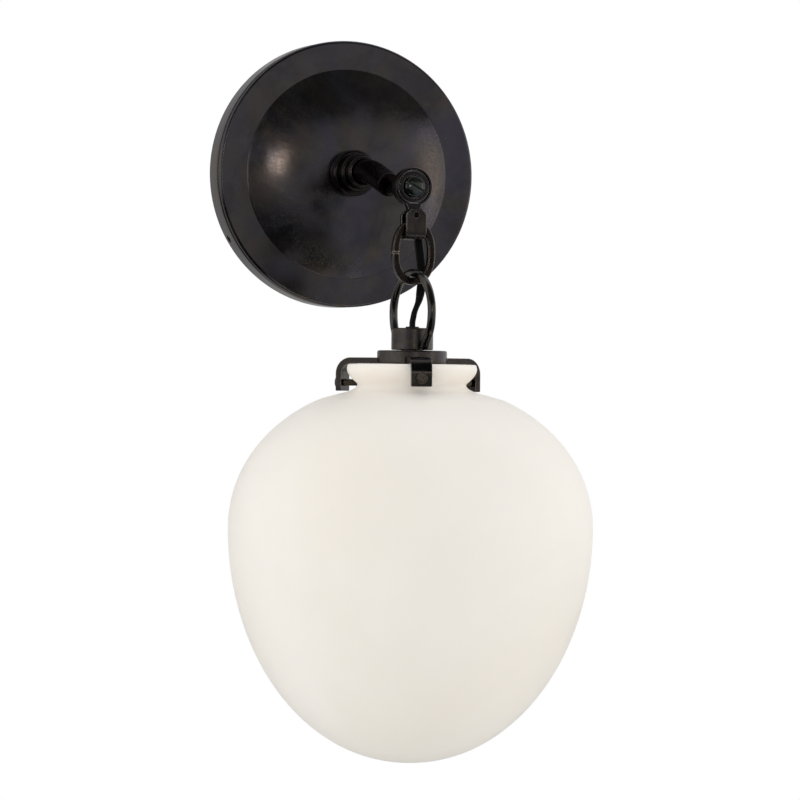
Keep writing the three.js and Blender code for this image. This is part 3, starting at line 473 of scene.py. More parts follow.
def bronze(part, base, dark, light, edge_wear_and_highlight, edge_wear_and_highlight_share, scale, gloss=0.2, pits=0.03, tints=0.3, reach=0.45):
    """Bronze patina: the metal with dark clouds, light spots, blue and brown tints, and edges lightened as
    rubbed metal and as a painted highlight.
    """
    material, n, where = new_material(part + "_bronze")
    clouds = n.noise(where, scale, 5, 0.6, 0.6)
    spots = n.noise(where, scale * SPOTS_TO_CLOUDS, 4, 0.6)
    grain = n.noise(where, METAL_GRAIN, 3, 0.6)
    tint = n.noise(where, scale * 0.8, 2, 0.5, 1.2)
    colour = n.mix(n.ramp(clouds, 0.34, 0.62), linear(dark), linear(base))
    colour = n.mix(n.ramp(spots, 0.46, 0.74, 0, 0.35), colour, linear(light))
    for factors, low, high in ((BLUER, 0.44, 0.66), (BROWNER, 0.5, 0.3)):
        tinted = [c * factor for c, factor in zip(base, factors)]
        colour = n.mix(n.ramp(tint, low, high, 0, tints), colour, linear(tinted))
    # Rounded edges are lightened: partly rubbed metal, partly a painted highlight where the bevels catch
    # light
    worn_and_highlit_edges = n.math("MULTIPLY", n.edges(reach), n.ramp(grain, 0.35, 0.6, 0.6, 1.0))
    colour = n.mix(n.math("MULTIPLY", worn_and_highlit_edges, edge_wear_and_highlight_share), colour, linear(edge_wear_and_highlight))
    rough = n.ramp(clouds, 0.3, 0.7, gloss - 0.05, gloss + 0.08)
    rough = n.math("ADD", rough, n.ramp(grain, 0.3, 0.7, -0.03, 0.05))
    fine = n.bump(grain, pits, FINE_DEPTH)
    soft = n.bump(spots, 0.12, MOTTLE_DEPTH, fine)
    surface(n, Base_Color=colour, Roughness=rough, Normal=soft, Metallic=1.0)
    return material


def moulded(name, base, dark, gloss, scale=160.0, shine=0.5):
    """Moulded plastic or rubber: faint clouds and a fine grain."""
    material, n, where = new_material(name)
    clouds = n.noise(where, scale, 4, 0.6)
    grain = n.noise(where, MOULDED_GRAIN, 2, 0.5)
    colour = n.mix(n.ramp(clouds, 0.35, 0.65), linear(dark), linear(base))
    rough = n.ramp(clouds, 0.3, 0.7, gloss - 0.07, gloss + 0.08)
    normal = n.bump(grain, 0.12, FINE_DEPTH)
    surface(n, Base_Color=colour, Roughness=rough, Normal=normal, Specular_IOR_Level=shine)
    return material


def plated(name, base, dark, gloss, scale=120.0):
    """Plated metal: dull clouds and a fine grain."""
    material, n, where = new_material(name)
    clouds = n.noise(where, scale, 5, 0.65)
    grain = n.noise(where, PLATED_GRAIN, 3, 0.6)
    colour = n.mix(n.ramp(clouds, 0.3, 0.66), linear(dark), linear(base))
    rough = n.ramp(clouds, 0.3, 0.7, gloss + 0.1, gloss - 0.06)
    normal = n.bump(grain, 0.15, FINE_DEPTH)
    surface(n, Base_Color=colour, Roughness=rough, Normal=normal, Metallic=0.95)
    return material


def opal_glass():
    material, n, where = new_material("opal_glass")
    clouds = n.noise(where, 9, 3, 0.5, 0.4)
    colour = n.mix(n.ramp(clouds, 0.3, 0.7), linear((244, 236, 225)), linear((249, 242, 233)))
    waves = n.bump(n.noise(where, 22, 2, 0.4), 0.06, WAVE_DEPTH)
    rough = n.ramp(n.noise(where, 60, 3, 0.5), 0.3, 0.7, 0.32, 0.42)
    surface(
        n, Base_Color=colour, Roughness=rough, Normal=waves, Specular_IOR_Level=0.25,
        Subsurface_Weight=0.4, Subsurface_Radius=(1.0, 0.9, 0.8), Subsurface_Scale=0.006,
    )
    return material


def frosted_glass():
    material, n, where = new_material("bulb_glass")
    clouds = n.noise(where, 30, 3, 0.5)
    colour = n.mix(n.ramp(clouds, 0.3, 0.7), linear((240, 236, 226)), linear((248, 246, 240)))
    rough = n.ramp(n.noise(where, 800, 2, 0.5), 0.3, 0.7, 0.42, 0.55)
    frost = n.bump(n.noise(where, 1600, 2, 0.5), 0.08, FINE_DEPTH)
    surface(
        n, Base_Color=colour, Roughness=rough, Normal=frost, Transmission_Weight=0.35,
        Subsurface_Weight=0.3, Subsurface_Scale=0.003,
    )
    return material


# Colours of the metal, its clouds, spots and lightened edges (rubbed metal and painted highlight), how much
# these are lightened, clouds to a metre
PLATE_BRONZE = bronze(
    "plate", (91, 89, 92), (74, 72, 76), (101, 96, 92), (136, 126, 112), 0.3, 38, tints=0.4,
)
COLLAR_BRONZE = bronze(
    "collar", (60, 55, 58), (44, 40, 43), (72, 64, 62), (150, 144, 132), 0.8, 80, pits=0.05,
)
JOINT_BRONZE = bronze(
    "joint", (74, 69, 67), (56, 52, 52), (86, 80, 76), (204, 198, 188), 0.9, 90, reach=0.9,
)
KNUCKLE_BRONZE = bronze(
    "knuckle", (56, 53, 55), (42, 40, 42), (66, 62, 62), (206, 202, 194), 0.85, 90, reach=0.5,
)
ARM_BRONZE = bronze(
    "arm", (38, 29, 31), (26, 20, 22), (54, 40, 38), (84, 70, 60), 0.2, 80, pits=0.02,
)
SCREW_BRONZE = bronze(
    "screw", (82, 87, 85), (62, 67, 65), (98, 103, 100), (132, 134, 126), 0.4, 120, gloss=0.13, pits=0,
)
BOW_BRONZE = bronze(
    "bow", (94, 92, 90), (72, 70, 68), (106, 100, 94), (140, 128, 112), 0.1, 110, gloss=0.18, pits=0,
)
CHAIN_BRONZE = bronze(
    "chain", (48, 44, 43), (34, 31, 31), (66, 56, 51), (206, 190, 172), 0.9, 110, reach=1.2,
)
CLAW_BRONZE = bronze(
    "claw", (66, 63, 61), (50, 48, 47), (78, 74, 70), (152, 146, 137), 0.6, 100, reach=0.6,
)
HOLDER_BRONZE = bronze(
    "holder", (90, 86, 82), (74, 70, 67), (100, 94, 88), (136, 124, 108), 0.3, 90, gloss=0.28, pits=0.05,
)
ZINC = plated("zinc", (176, 177, 172), (138, 139, 136), 0.36)
LAMP_BRASS = plated("lamp_brass", (206, 170, 104), (168, 132, 74), 0.26)
GREEN_SCREW = plated("green_screw", (72, 128, 84), (48, 96, 60), 0.34)
PHENOLIC = moulded("phenolic", (30, 29, 28), (20, 19, 19), 0.36)
CORD_SKIN = moulded("cord_skin", (12, 12, 12), (7, 7, 7), 0.46, 260.0, 0.14)
PALE_LEAD = moulded("pale_lead", (222, 219, 208), (200, 196, 184), 0.5)
GREEN_LEAD = moulded("green_lead", (48, 118, 66), (34, 92, 50), 0.5)
CONNECTOR = moulded("connector", (226, 217, 196), (206, 196, 174), 0.42)
OPAL = opal_glass()
FROSTED = frosted_glass()


# Cord


def cord_section():
    """Two round cores side by side, with a shallow groove between them."""
    open_angle = math.degrees(math.acos(0.86 * CORD_SPREAD / CORD_LOBE))
    right = arc(CORD_SPREAD, 0, CORD_LOBE, -180 + open_angle, 180 - open_angle, 14)
    left = arc(-CORD_SPREAD, 0, CORD_LOBE, open_angle, 360 - open_angle, 14)
    return right + left


def cord_turns(line):
    """How far the flat side has turned away from the room at each point."""
    high, low = CORD_TURN_HEIGHTS
    return [CORD_TURN * smooth_step((high - point.z) / (high - low)) for point in line]


def cords():
    whole = spline(CORD_POINTS, CORD_STEP / 4)
    reach = distances(whole)
    total = reach[-1]
    section = cord_section()
    names = ["upper", "middle", "lower"]
    for i, name in enumerate(names):
        low = total * CORD_SEAM_SHARES[i] + (GAP / 2 if i else 0)
        high = total * CORD_SEAM_SHARES[i + 1] - (GAP / 2 if i < len(names) - 1 else 0)
        line = [p for p, r in zip(whole, reach) if low <= r <= high]
        line = evenly(line, CORD_STEP)
        across = Vector((0, 0, 1)) if i == 0 else SIDEWAYS
        form = sweep(line, section, across, turns=cord_turns(line))
        made = piece(f"flex_{name}", form, None, CORD_SKIN, f"cord_{name}", crease=50)
        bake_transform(made)


camera()
cords()


# Wall plate

PLATE_RADIUS = 60.3
PLATE_RIM = 15.5
PLATE_SHEET = 1.2
PLATE_BEAD = 1.4
PLATE_GROOVE = 0.8
PLATE_GROOVE_WIDTH = 1
PLATE_HEM = 2.6
STEP_RADIUS = 47.4
STEP_WIDTH = 0.5
DOME_RADIUS = 46.9
DOME_EDGE = 15.85
LAND_RADIUS = 11.2
LAND = 21.7
LEDGE_RADII = (57, 54, 51, 49, STEP_RADIUS)
STEP_STEPS = 8
DOME_STEPS = 28
NIPPLE_RADIUS = 3.9
SIDE_SCREW_RADIUS = 1.5
SIDE_SCREW_OUT = 4.5
SIDE_SCREW_HOLE = 8
SIDE_SCREW_DEGREES = (90, 210, 330)


def dome_height(radius):
    share = (radius - LAND_RADIUS) / (DOME_RADIUS - LAND_RADIUS)
    return LAND - (LAND - DOME_EDGE) * share**2


def backplate():
    bead_centre = PLATE_RIM - PLATE_BEAD
    groove_top = PLATE_RIM - 2 * PLATE_BEAD
    groove_low = groove_top - PLATE_GROOVE_WIDTH
    rim = [(PLATE_RADIUS - PLATE_SHEET, 0), (PLATE_RADIUS - GAP, 0)]
    heights = (GAP, SIDE_SCREW_OUT - 2, SIDE_SCREW_OUT + 2, groove_low - 0.5)
    rim += [(PLATE_RADIUS, height) for height in heights]
    rim += [(PLATE_RADIUS - 0.2, groove_low - 0.1)]
    rim += [(PLATE_RADIUS - PLATE_GROOVE, height) for height in (groove_low + 0.2, groove_top - 0.1)]
    bead = arc(PLATE_RADIUS - PLATE_BEAD, bead_centre, PLATE_BEAD, -50, 90, 12)
    ledge = [(radius, PLATE_RIM) for radius in LEDGE_RADII]
    rise = DOME_EDGE - PLATE_RIM
    shares = [k / STEP_STEPS for k in range(1, STEP_STEPS + 1)]
    step = [(STEP_RADIUS - STEP_WIDTH * s, PLATE_RIM + rise * math.sin(math.pi / 2 * s)) for s in shares]
    span = DOME_RADIUS - LAND_RADIUS
    radii = [LAND_RADIUS + span * (1 - k / DOME_STEPS) for k in range(1, DOME_STEPS + 1)]
    dome = [(radius, dome_height(radius)) for radius in radii]
    bore = NIPPLE_RADIUS + GAP
    back = [(bore, LAND), (bore, LAND - PLATE_SHEET)]
    back += [(radius, height - PLATE_SHEET) for radius, height in reversed(dome[::3])]
    back += [(STEP_RADIUS, PLATE_RIM - PLATE_SHEET), (PLATE_RADIUS - PLATE_HEM, PLATE_RIM - PLATE_SHEET)]
    back += [(PLATE_RADIUS - PLATE_SHEET, PLATE_RIM - PLATE_HEM)]
    form = placed(lathe(rim + bead + ledge + step + dome + back, 192), facing_out(0))
    holes = []
    for degrees in SIDE_SCREW_DEGREES:
        turn = math.radians(degrees)
        direction = Vector((math.cos(turn), 0, math.sin(turn)))
        start = direction * (PLATE_RADIUS - SIDE_SCREW_HOLE / 2) - Vector((0, SIDE_SCREW_OUT, 0))
        holes.append(drill(SIDE_SCREW_RADIUS + GAP, 0, SIDE_SCREW_HOLE, start, direction, 28))
    piece("plate", form, "wall_bracket", PLATE_BRONZE, "backplate", cuts=holes)


# Collar and arm

COLLAR_RADII = (10.4, 8.6, 7.2)
COLLAR_DEPTHS = (5.6, 6.2, 5.6)
COLLAR_ROUND = 1.2
# How far in and how far up each ring starts
COLLAR_FLARE = ((0.7, 0), (0.2, 0.35), (0, 0.9))
ARM_RADIUS = 5.4
ARM_BORE = 4.2
ARM_BEND_OUT = 49.5
ARM_SLOPE = math.radians(16)
ARM_BEND = 8.0
ARM_REACH = 24.5
ARM_STEP = 1.2
EXIT_SHARE = 0.68
EXIT_TURN = math.radians(40)
EXIT_FLANGE = 3.2
EXIT_LIP = 0.5
EXIT_HOLE = 9
EXIT_BORE = 2.0


def arm_at(out):
    return Vector((0, -out, -max(out - ARM_BEND_OUT, 0) * math.tan(ARM_SLOPE)))


ARM_START = LAND + GAP + COLLAR_DEPTHS[0] + GAP
ARM_END = ARM_BEND_OUT + ARM_REACH * math.cos(ARM_SLOPE)


def collar():
    rings, height = [], LAND + GAP
    for radius, depth in zip(COLLAR_RADII, COLLAR_DEPTHS):
        top = height + depth
        rings += [(radius - inset, height + rise) for inset, rise in COLLAR_FLARE]
        rings += arc(radius - COLLAR_ROUND, top - COLLAR_ROUND, COLLAR_ROUND, 0, 90)
        height = top
    bore = [(ARM_RADIUS + GAP, height - 0.4), (ARM_RADIUS + GAP, ARM_START - GAP)]
    bore += [(NIPPLE_RADIUS + GAP, ARM_START - GAP), (NIPPLE_RADIUS + GAP, LAND + GAP)]
    form = placed(lathe(rings + bore), facing_out(0))
    piece("collar", form, "wall_bracket", COLLAR_BRONZE, "arm_collar")


def exit_frame():
    """The place on the arm's axis where the cord leaves, and the way it leaves."""
    out = ARM_BEND_OUT + (ARM_END - ARM_BEND_OUT) * EXIT_SHARE
    sideways = Vector((math.cos(EXIT_TURN), 0, -math.sin(EXIT_TURN)))
    return arm_at(out), Matrix.Rotation(ARM_SLOPE, 3, "X") @ sideways


def arm():
    near, far = arm_at(ARM_BEND_OUT - ARM_BEND), arm_at(ARM_BEND_OUT + ARM_BEND)
    corner = arm_at(ARM_BEND_OUT)
    bend = bezier([near, near.lerp(corner, 2 / 3), far.lerp(corner, 2 / 3), far], 20)
    line = evenly([arm_at(ARM_START)] + bend + [arm_at(ARM_END)], ARM_STEP)
    hole = drill(EXIT_FLANGE - EXIT_LIP, 0, EXIT_HOLE, *exit_frame())
    past_ends = [2 * line[0] - line[1]] + line + [2 * line[-1] - line[-2]]
    bore = sweep(past_ends, circle(ARM_BORE, 32), (1, 0, 0))
    form = sweep(line, circle(ARM_RADIUS, 48), (1, 0, 0))
    piece("arm", form, "wall_bracket", ARM_BRONZE, "arm_tube", cuts=[bore, hole], edge=0.25)


def exit_bushing():
    place, axis = exit_frame()
    stem, seat = EXIT_FLANGE - EXIT_LIP - GAP, ARM_RADIUS + GAP
    profile = [(EXIT_BORE + 0.2, ARM_BORE), (stem, ARM_BORE), (stem, seat), (EXIT_FLANGE - 0.1, seat)]
    profile += arc(EXIT_FLANGE - EXIT_LIP, seat + 0.4, EXIT_LIP, 0, 90, 5)
    profile += arc(EXIT_BORE + 0.4, seat + 0.5, 0.4, 90, 180, 5)
    form = placed(lathe(profile, 40), towards(place, axis))
    piece("cord_bushing", form, "wall_bracket", PHENOLIC, "arm_bushing")


# Spindle, knuckle and their screw

KNUCKLE_DROP = 9.3
KNUCKLE_RADIUS = 8.4
KNUCKLE_FRONT = PLUMB_OUT + 1
KNUCKLE_BACK = KNUCKLE_FRONT - 5.6
KNUCKLE_DISH = 1.9
KNUCKLE_GROOVE = 1.3
TONGUE_THICKNESS = 3.0
TONGUE_RADIUS = 1.75
TONGUE_SHOULDER = 3.6
TONGUE_OVERLAP = 1.4
CAP_THICKNESS = 2.2
CAP_PLUG = 4
CAP_ROUND = 0.8
STEM_NECK = 2.4
STEM_SEAT = 3.8
STEM_BORE = 2.3
STEM_BORE_DEPTH = 9
SEAT_LENGTH = 11.0
PIN_DROP = 21.7
PIN_RADIUS = 0.8
PIN_HEAD = 1.3
PIN_HOLE = 16


def spindle():
    cap = [(0, -CAP_PLUG), (ARM_BORE - GAP, -CAP_PLUG), (ARM_BORE - GAP, GAP)]
    cap += [(ARM_RADIUS - 0.15, GAP), (ARM_RADIUS, GAP + 0.15)]
    cap += arc(ARM_RADIUS - CAP_ROUND, CAP_THICKNESS - CAP_ROUND, CAP_ROUND, 0, 90, 5)
    cap += [(0, CAP_THICKNESS)]
    tilt = Matrix.Rotation(ARM_SLOPE, 4, "X")
    form = placed(lathe(cap, 64), Matrix.Translation(arm_at(ARM_END)) @ tilt @ OUTWARD)
    front = KNUCKLE_BACK - GAP
    back = front - SEAT_LENGTH
    stem = [(0, ARM_END + GAP), (STEM_NECK, ARM_END + GAP), (STEM_NECK, back - 3)]
    stem += [(STEM_NECK + 0.4, back - 1.6), (STEM_SEAT, back), (STEM_SEAT, front - 0.3)]
    stem += [(STEM_SEAT - 0.3, front), (STEM_BORE, front)]
    stem += [(STEM_BORE, front - STEM_BORE_DEPTH), (0, front - STEM_BORE_DEPTH)]
    shaft = placed(lathe(stem, 48), facing_out(KNUCKLE_DROP))
    piece("spindle", form, "wall_bracket", ARM_BRONZE, "arm_spindle", joins=[shaft])


def pin_hole():
    start = (0, -(PLUMB_OUT - PIN_HOLE / 2), -PIN_DROP)
    return drill(PIN_RADIUS + GAP, 0, PIN_HOLE, start, (0, -1, 0), 20)


def knuckle():
    """A disc with a raised rim, a groove and an inner ring round the screw, and a tongue below."""
    radius, front = KNUCKLE_RADIUS, KNUCKLE_FRONT
    dish, groove, inner = front - KNUCKLE_DISH, front - KNUCKLE_GROOVE, SCREW_HEAD + 0.35
    profile = [(STEM_BORE, KNUCKLE_BACK)]
    profile += arc(radius - 0.5, KNUCKLE_BACK + 0.5, 0.5, -90, 0, 4)
    profile += arc(radius - 0.75, front - 0.75, 0.75, 0, 90)
    profile += arc(radius - 0.8, front - 0.25, 0.25, 90, 180, 4)
    profile += [(radius - 1.15, groove), (radius - 1.75, groove)]
    profile += arc(radius - 2.1, front - 0.7, 0.25, 0, 90, 4)
    profile += [(inner + 0.25, front - 0.45), (inner, front - 0.7), (inner, dish), (STEM_BORE, dish)]
    form = placed(lathe(profile), facing_out(KNUCKLE_DROP))
    top = KNUCKLE_DROP + KNUCKLE_RADIUS - TONGUE_OVERLAP
    outline = [(TONGUE_SHOULDER, -top), (-TONGUE_SHOULDER, -top)]
    outline += arc(0, -PIN_DROP, TONGUE_RADIUS, 180, 360, 16)
    place = (0, TONGUE_THICKNESS / 2 - KNUCKLE_FRONT + 0.1, 0)
    tongue = slab(outline, TONGUE_THICKNESS, (1, 0, 0), (0, 0, 1), place)
    piece(
        "knuckle_disc", form, "wall_bracket", KNUCKLE_BRONZE, "knuckle",
        joins=[tongue], cuts=[pin_hole()], edge=0.15, edge_angle=60,
    )


SCREW_HEAD = 4.5
SCREW_RIM = 2.5
SCREW_CROWN = 1.4
SCREW_SLOT_DEGREES = -29
SCREW_SLOT_REACH = 6
SCREW_SLOT_WIDTH = 1.2
SCREW_SLOT_DEPTH = 2.1
SCREW_SHANK = 2.0
SCREW_SHANK_LENGTH = 8.7
SCREW_STEPS = 12


def pivot_screw():
    seat = KNUCKLE_FRONT - KNUCKLE_DISH + GAP
    base = seat + SCREW_RIM
    turns = [k / SCREW_STEPS * math.pi / 2 for k in range(SCREW_STEPS)]
    crown = [(SCREW_HEAD * math.cos(turn), base + SCREW_CROWN * math.sin(turn)) for turn in turns]
    crown += [(0, base + SCREW_CROWN)]
    end = KNUCKLE_BACK - GAP - SCREW_SHANK_LENGTH
    profile = [(0, end), (SCREW_SHANK - 0.2, end), (SCREW_SHANK, end + 0.3), (SCREW_SHANK, seat)]
    profile += [(SCREW_HEAD - 0.3, seat), (SCREW_HEAD, seat + 0.3)]
    form = placed(lathe(profile + crown, 64), facing_out(KNUCKLE_DROP))
    turn = math.radians(SCREW_SLOT_DEGREES)
    along, up = (math.cos(turn), 0, math.sin(turn)), (-math.sin(turn), 0, math.cos(turn))
    top = (0, -(base + SCREW_CROWN), -KNUCKLE_DROP)
    outline = rectangle(SCREW_SLOT_REACH, SCREW_SLOT_WIDTH / 2)
    slot = slab(outline, 2 * SCREW_SLOT_DEPTH, along, up, top)
    piece(
        "slotted_screw", form, "wall_bracket", SCREW_BRONZE, "pivot_screw",
        cuts=[slot], edge=0.12, edge_angle=40,
    )


# Shackle, link and bow

SHACKLE_WIDTH = 9.4
SHACKLE_THICKNESS = 2.1
SHACKLE_INNER = 2.4
SHACKLE_TOP = PIN_DROP - 2.3
SHACKLE_FRONT_TOP = PIN_DROP - 2.8
SHACKLE_BEND = PIN_DROP + 6.3
SHACKLE_TOP_WIDTH = 5.0
LINK_HALF_WIDTH = 9.75
LINK_HALF_HEIGHT = 13.9
LINK_BAND = 3.1
LINK_DEPTH = 3.6
LINK_CORNER = 0.75
LINK_FULLNESS = 2.3
LINK_SEAM = 0.3
LINK_STEP = 0.6
BOW_WIRE = 1.7
BOW_STOUT = 0.1  # how much stouter than its solid the wire is
BOW_HALF_WIDTH = 18.5
BOW_WIDEST = 17.0
BOW_FOOT = 11.1
# How far the handles of its curves reach: at the crown, down the flanks and up from the feet
BOW_CROWN = 0.56
BOW_FLANK = 0.6
BOW_TUCK = 0.34
BOW_STEP = 0.9
BOW_SPARE = 2  # past each foot, then cut off
BOW_TURN = math.radians(7.5)


def shackle():
    middle = SHACKLE_INNER + SHACKLE_THICKNESS / 2
    clip = (SHACKLE_WIDTH - SHACKLE_TOP_WIDTH) / 2
    narrow = SHACKLE_TOP_WIDTH / SHACKLE_WIDTH
    tops = (SHACKLE_FRONT_TOP, SHACKLE_TOP)
    legs = [[top, top + clip, top + clip + 1, SHACKLE_BEND - 0.5] for top in tops]
    front = [(middle, -drop) for drop in legs[0]]
    bend = arc(0, -SHACKLE_BEND, middle, 0, -180, 22)
    back = [(-middle, -drop) for drop in reversed(legs[1])]
    line = [Vector((0, -PLUMB_OUT - out, up)) for out, up in front + bend + back]
    widths = [narrow] + [1] * (len(line) - 2) + [narrow]
    section = rectangle(SHACKLE_WIDTH / 2, SHACKLE_THICKNESS / 2)
    form = sweep(line, section, (1, 0, 0), widths=widths)
    piece(
        "u_shackle", form, "shackle", JOINT_BRONZE, "shackle",
        holes=[pin_hole()], edge=0.45, edge_angle=30,
    )


def shackle_pin():
    seat = SHACKLE_INNER + SHACKLE_THICKNESS + 0.1
    head = arc(0, seat - 0.9, 1.6, 36, 84, 5)
    half = [(PIN_RADIUS, seat), (PIN_HEAD, seat)] + head + [(0, seat + 0.72)]
    mirrored = [(radius, -height) for radius, height in reversed(half)]
    form = placed(lathe(mirrored + half, 32), Matrix.Translation((0, -PLUMB_OUT, 0)) @ facing_out(PIN_DROP))
    piece("rivet", form, "shackle", ARM_BRONZE, "shackle_pin", crease=45)


def oval(half_width, half_height, count):
    """Points on an oval that is a little squarer than an ellipse."""
    power = 2 / LINK_FULLNESS
    points = []
    for i in range(count):
        angle = 2 * math.pi * i / count
        across, up = math.cos(angle), math.sin(angle)
        across = math.copysign(abs(across) ** power, across)
        up = math.copysign(abs(up) ** power, up)
        points.append((half_width * across, half_height * up))
    return points


def chain_link():
    inset = LINK_BAND / 2
    low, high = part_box("chain_link")
    centre = -(low[2] + high[2]) / 2 / MM
    ring = oval(LINK_HALF_WIDTH - inset, LINK_HALF_HEIGHT - inset, 240)
    dense = [Vector((u, -PLUMB_OUT, v - centre)) for u, v in ring]
    line = evenly(dense + dense[:1], LINK_STEP)[:-1]
    section = rounded(LINK_DEPTH / 2, LINK_BAND / 2, LINK_CORNER, 2)
    form = sweep(line, section, (0, 1, 0), closed=True)
    seam_place = (-(LINK_HALF_WIDTH - inset), -PLUMB_OUT, -centre)
    seam = slab(rectangle(inset + 1, LINK_SEAM / 2), LINK_DEPTH + 2, (1, 0, 0), (0, 0, 1), seam_place)
    piece(
        "oval_link", form, "link", CHAIN_BRONZE, "chain_link",
        cuts=[seam], edge=0.12, edge_angle=25, crease=40,
    )


def bow():
    low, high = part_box("bow")
    top = -high[2] / MM + BOW_WIRE
    foot = -low[2] / MM
    widest = top + BOW_WIDEST
    rise = foot - widest
    line = []
    for sign in (1, -1):
        wide = sign * BOW_HALF_WIDTH
        tucked = sign * (BOW_FOOT + (BOW_HALF_WIDTH - BOW_FOOT) * BOW_TUCK)
        crown = [(0, top), (wide * BOW_CROWN, top), (wide, widest - BOW_WIDEST * BOW_CROWN), (wide, widest)]
        flank = [(wide, widest), (wide, widest + rise * BOW_FLANK), (tucked, foot - rise * BOW_TUCK)]
        flank += [(sign * BOW_FOOT, foot)]
        upper, lower = (bezier([(0, out, -drop) for out, drop in curve], 30) for curve in (crown, flank))
        half = upper + lower[1:]
        line = half[::-1] + line if sign > 0 else line + half[1:]
    first = line[0] + (line[0] - line[1]).normalized() * BOW_SPARE
    last = line[-1] + (line[-1] - line[-2]).normalized() * BOW_SPARE
    line = evenly([Vector((0, -point.y, point.z)) for point in [first] + line + [last]], BOW_STEP)
    form = sweep(line, circle(BOW_WIRE + BOW_STOUT, 24), (1, 0, 0))
    whole = form.verts[:] + form.edges[:] + form.faces[:]
    foot_place, down = (0, 0, -foot), (0, 0, -1)
    cut = bmesh.ops.bisect_plane(form, geom=whole, plane_co=foot_place, plane_no=down, clear_outer=True)
    rims = [edge for edge in cut["geom_cut"] if isinstance(edge, bmesh.types.BMEdge)]
    bmesh.ops.holes_fill(form, edges=rims)
    turn = Matrix.Rotation(BOW_TURN, 4, "Z")
    placed(form, Matrix.Translation((0, -PLUMB_OUT, 0)) @ turn)
    piece("wire_bow", form, "lamp", BOW_BRONZE, "bow", crease=45)


# Holder

HUB_TOP = 70.7
HUB_RADIUS = 9.1
HUB_BOTTOM = 80.2
HUB_ROOF = 2.6
HUB_MOUTH = 2.5
DISC_RADIUS = 15.2
DISC_TOP = HUB_BOTTOM + GAP
DISC_BOTTOM = DISC_TOP + 5.7
STEM_RADIUS = 4.8
CLAW_WIDTH = 9.0
CLAW_THICKNESS = 2.6
CLAW_INNER = 8.6
CLAW_REACH = 34.2
CLAW_BEND = 7.0
CLAW_TOP = DISC_BOTTOM - CLAW_THICKNESS
CLAW_NAMES = ("front", "right", "left")
CLAW_TURN = math.radians(-12)
CLAW_CORNER = 0.6
CLAW_SCREW_UP = 3.7
CLAW_SCREW_RADIUS = 1.5
CLAW_SCREW_HEAD = 2.5
CLAW_SCREW_HEIGHT = 1.2
CLAW_SCREW_BITE = 1.6
THREAD_PITCH = 0.5
THREAD_DEPTH = 0.2
SOCKET_RADIUS = 1.05
SOCKET_DEPTH = 0.9
DIMPLE = 0.12


def hub():
    bottom, bore = HUB_BOTTOM, STEM_RADIUS + GAP
    profile = [(HUB_MOUTH, HUB_TOP + 0.2), (HUB_MOUTH + 0.2, HUB_TOP)]
    profile += arc(HUB_RADIUS - 0.7, HUB_TOP + 0.7, 0.7, -90, 0, 5)
    profile += [(HUB_RADIUS, bottom - 0.3), (HUB_RADIUS - 0.3, bottom), (bore, bottom)]
    profile += [(bore, HUB_TOP + HUB_ROOF), (HUB_MOUTH, HUB_TOP + HUB_ROOF)]
    form = placed(lathe(profile), HANGING)
    piece("holder_hub", form, "lamp", HOLDER_BRONZE, "hub")


def hub_bushing():
    bore, stem = 2.02, 2.3
    profile = [(bore, HUB_TOP + HUB_ROOF), (bore, HUB_TOP - 0.2)]
    profile += arc(2.55, HUB_TOP - 0.25, 0.4, 200, 340)
    profile += [(3.0, HUB_TOP - 0.1), (stem, HUB_TOP - 0.05), (stem, HUB_TOP + HUB_ROOF)]
    form = placed(lathe(profile, 40), HANGING)
    piece("hub_grommet", form, "lamp", PHENOLIC, "hub_bushing")


def claw_way(index):
    """The level direction in which a claw points."""
    turn = CLAW_TURN + 2 * math.pi * index / len(CLAW_NAMES)
    return Matrix.Rotation(turn, 3, "Z") @ Vector((0, -1, 0))


def holder_disc():
    bore = STEM_RADIUS + GAP
    profile = [(bore, DISC_TOP)] + arc(DISC_RADIUS - 0.8, DISC_TOP + 0.8, 0.8, -90, 0, 5)
    profile += [(DISC_RADIUS, DISC_BOTTOM - 0.3), (DISC_RADIUS - 0.3, DISC_BOTTOM), (bore, DISC_BOTTOM)]
    form = placed(lathe(profile, 128), HANGING)
    length = DISC_RADIUS - CLAW_INNER + 2
    height = CLAW_THICKNESS + GAP + 1
    outline = rectangle(CLAW_WIDTH / 2 + GAP, height / 2)
    slots = []
    for index in range(len(CLAW_NAMES)):
        way = claw_way(index)
        middle = way * (CLAW_INNER - GAP + length / 2)
        place = Vector((middle.x, middle.y - PLUMB_OUT, -(CLAW_TOP - GAP + height / 2)))
        aside = Vector((0, 0, 1)).cross(way)
        slots.append(slab(outline, length, aside, (0, 0, 1), place))
    piece("clamp_disc", form, "lamp", HOLDER_BRONZE, "holder_disc", cuts=slots)


def claw_bottom(index):
    return -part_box(f"claw_{CLAW_NAMES[index]}")[0][2] / MM


def claw_level(index):
    return claw_bottom(index) - CLAW_SCREW_UP


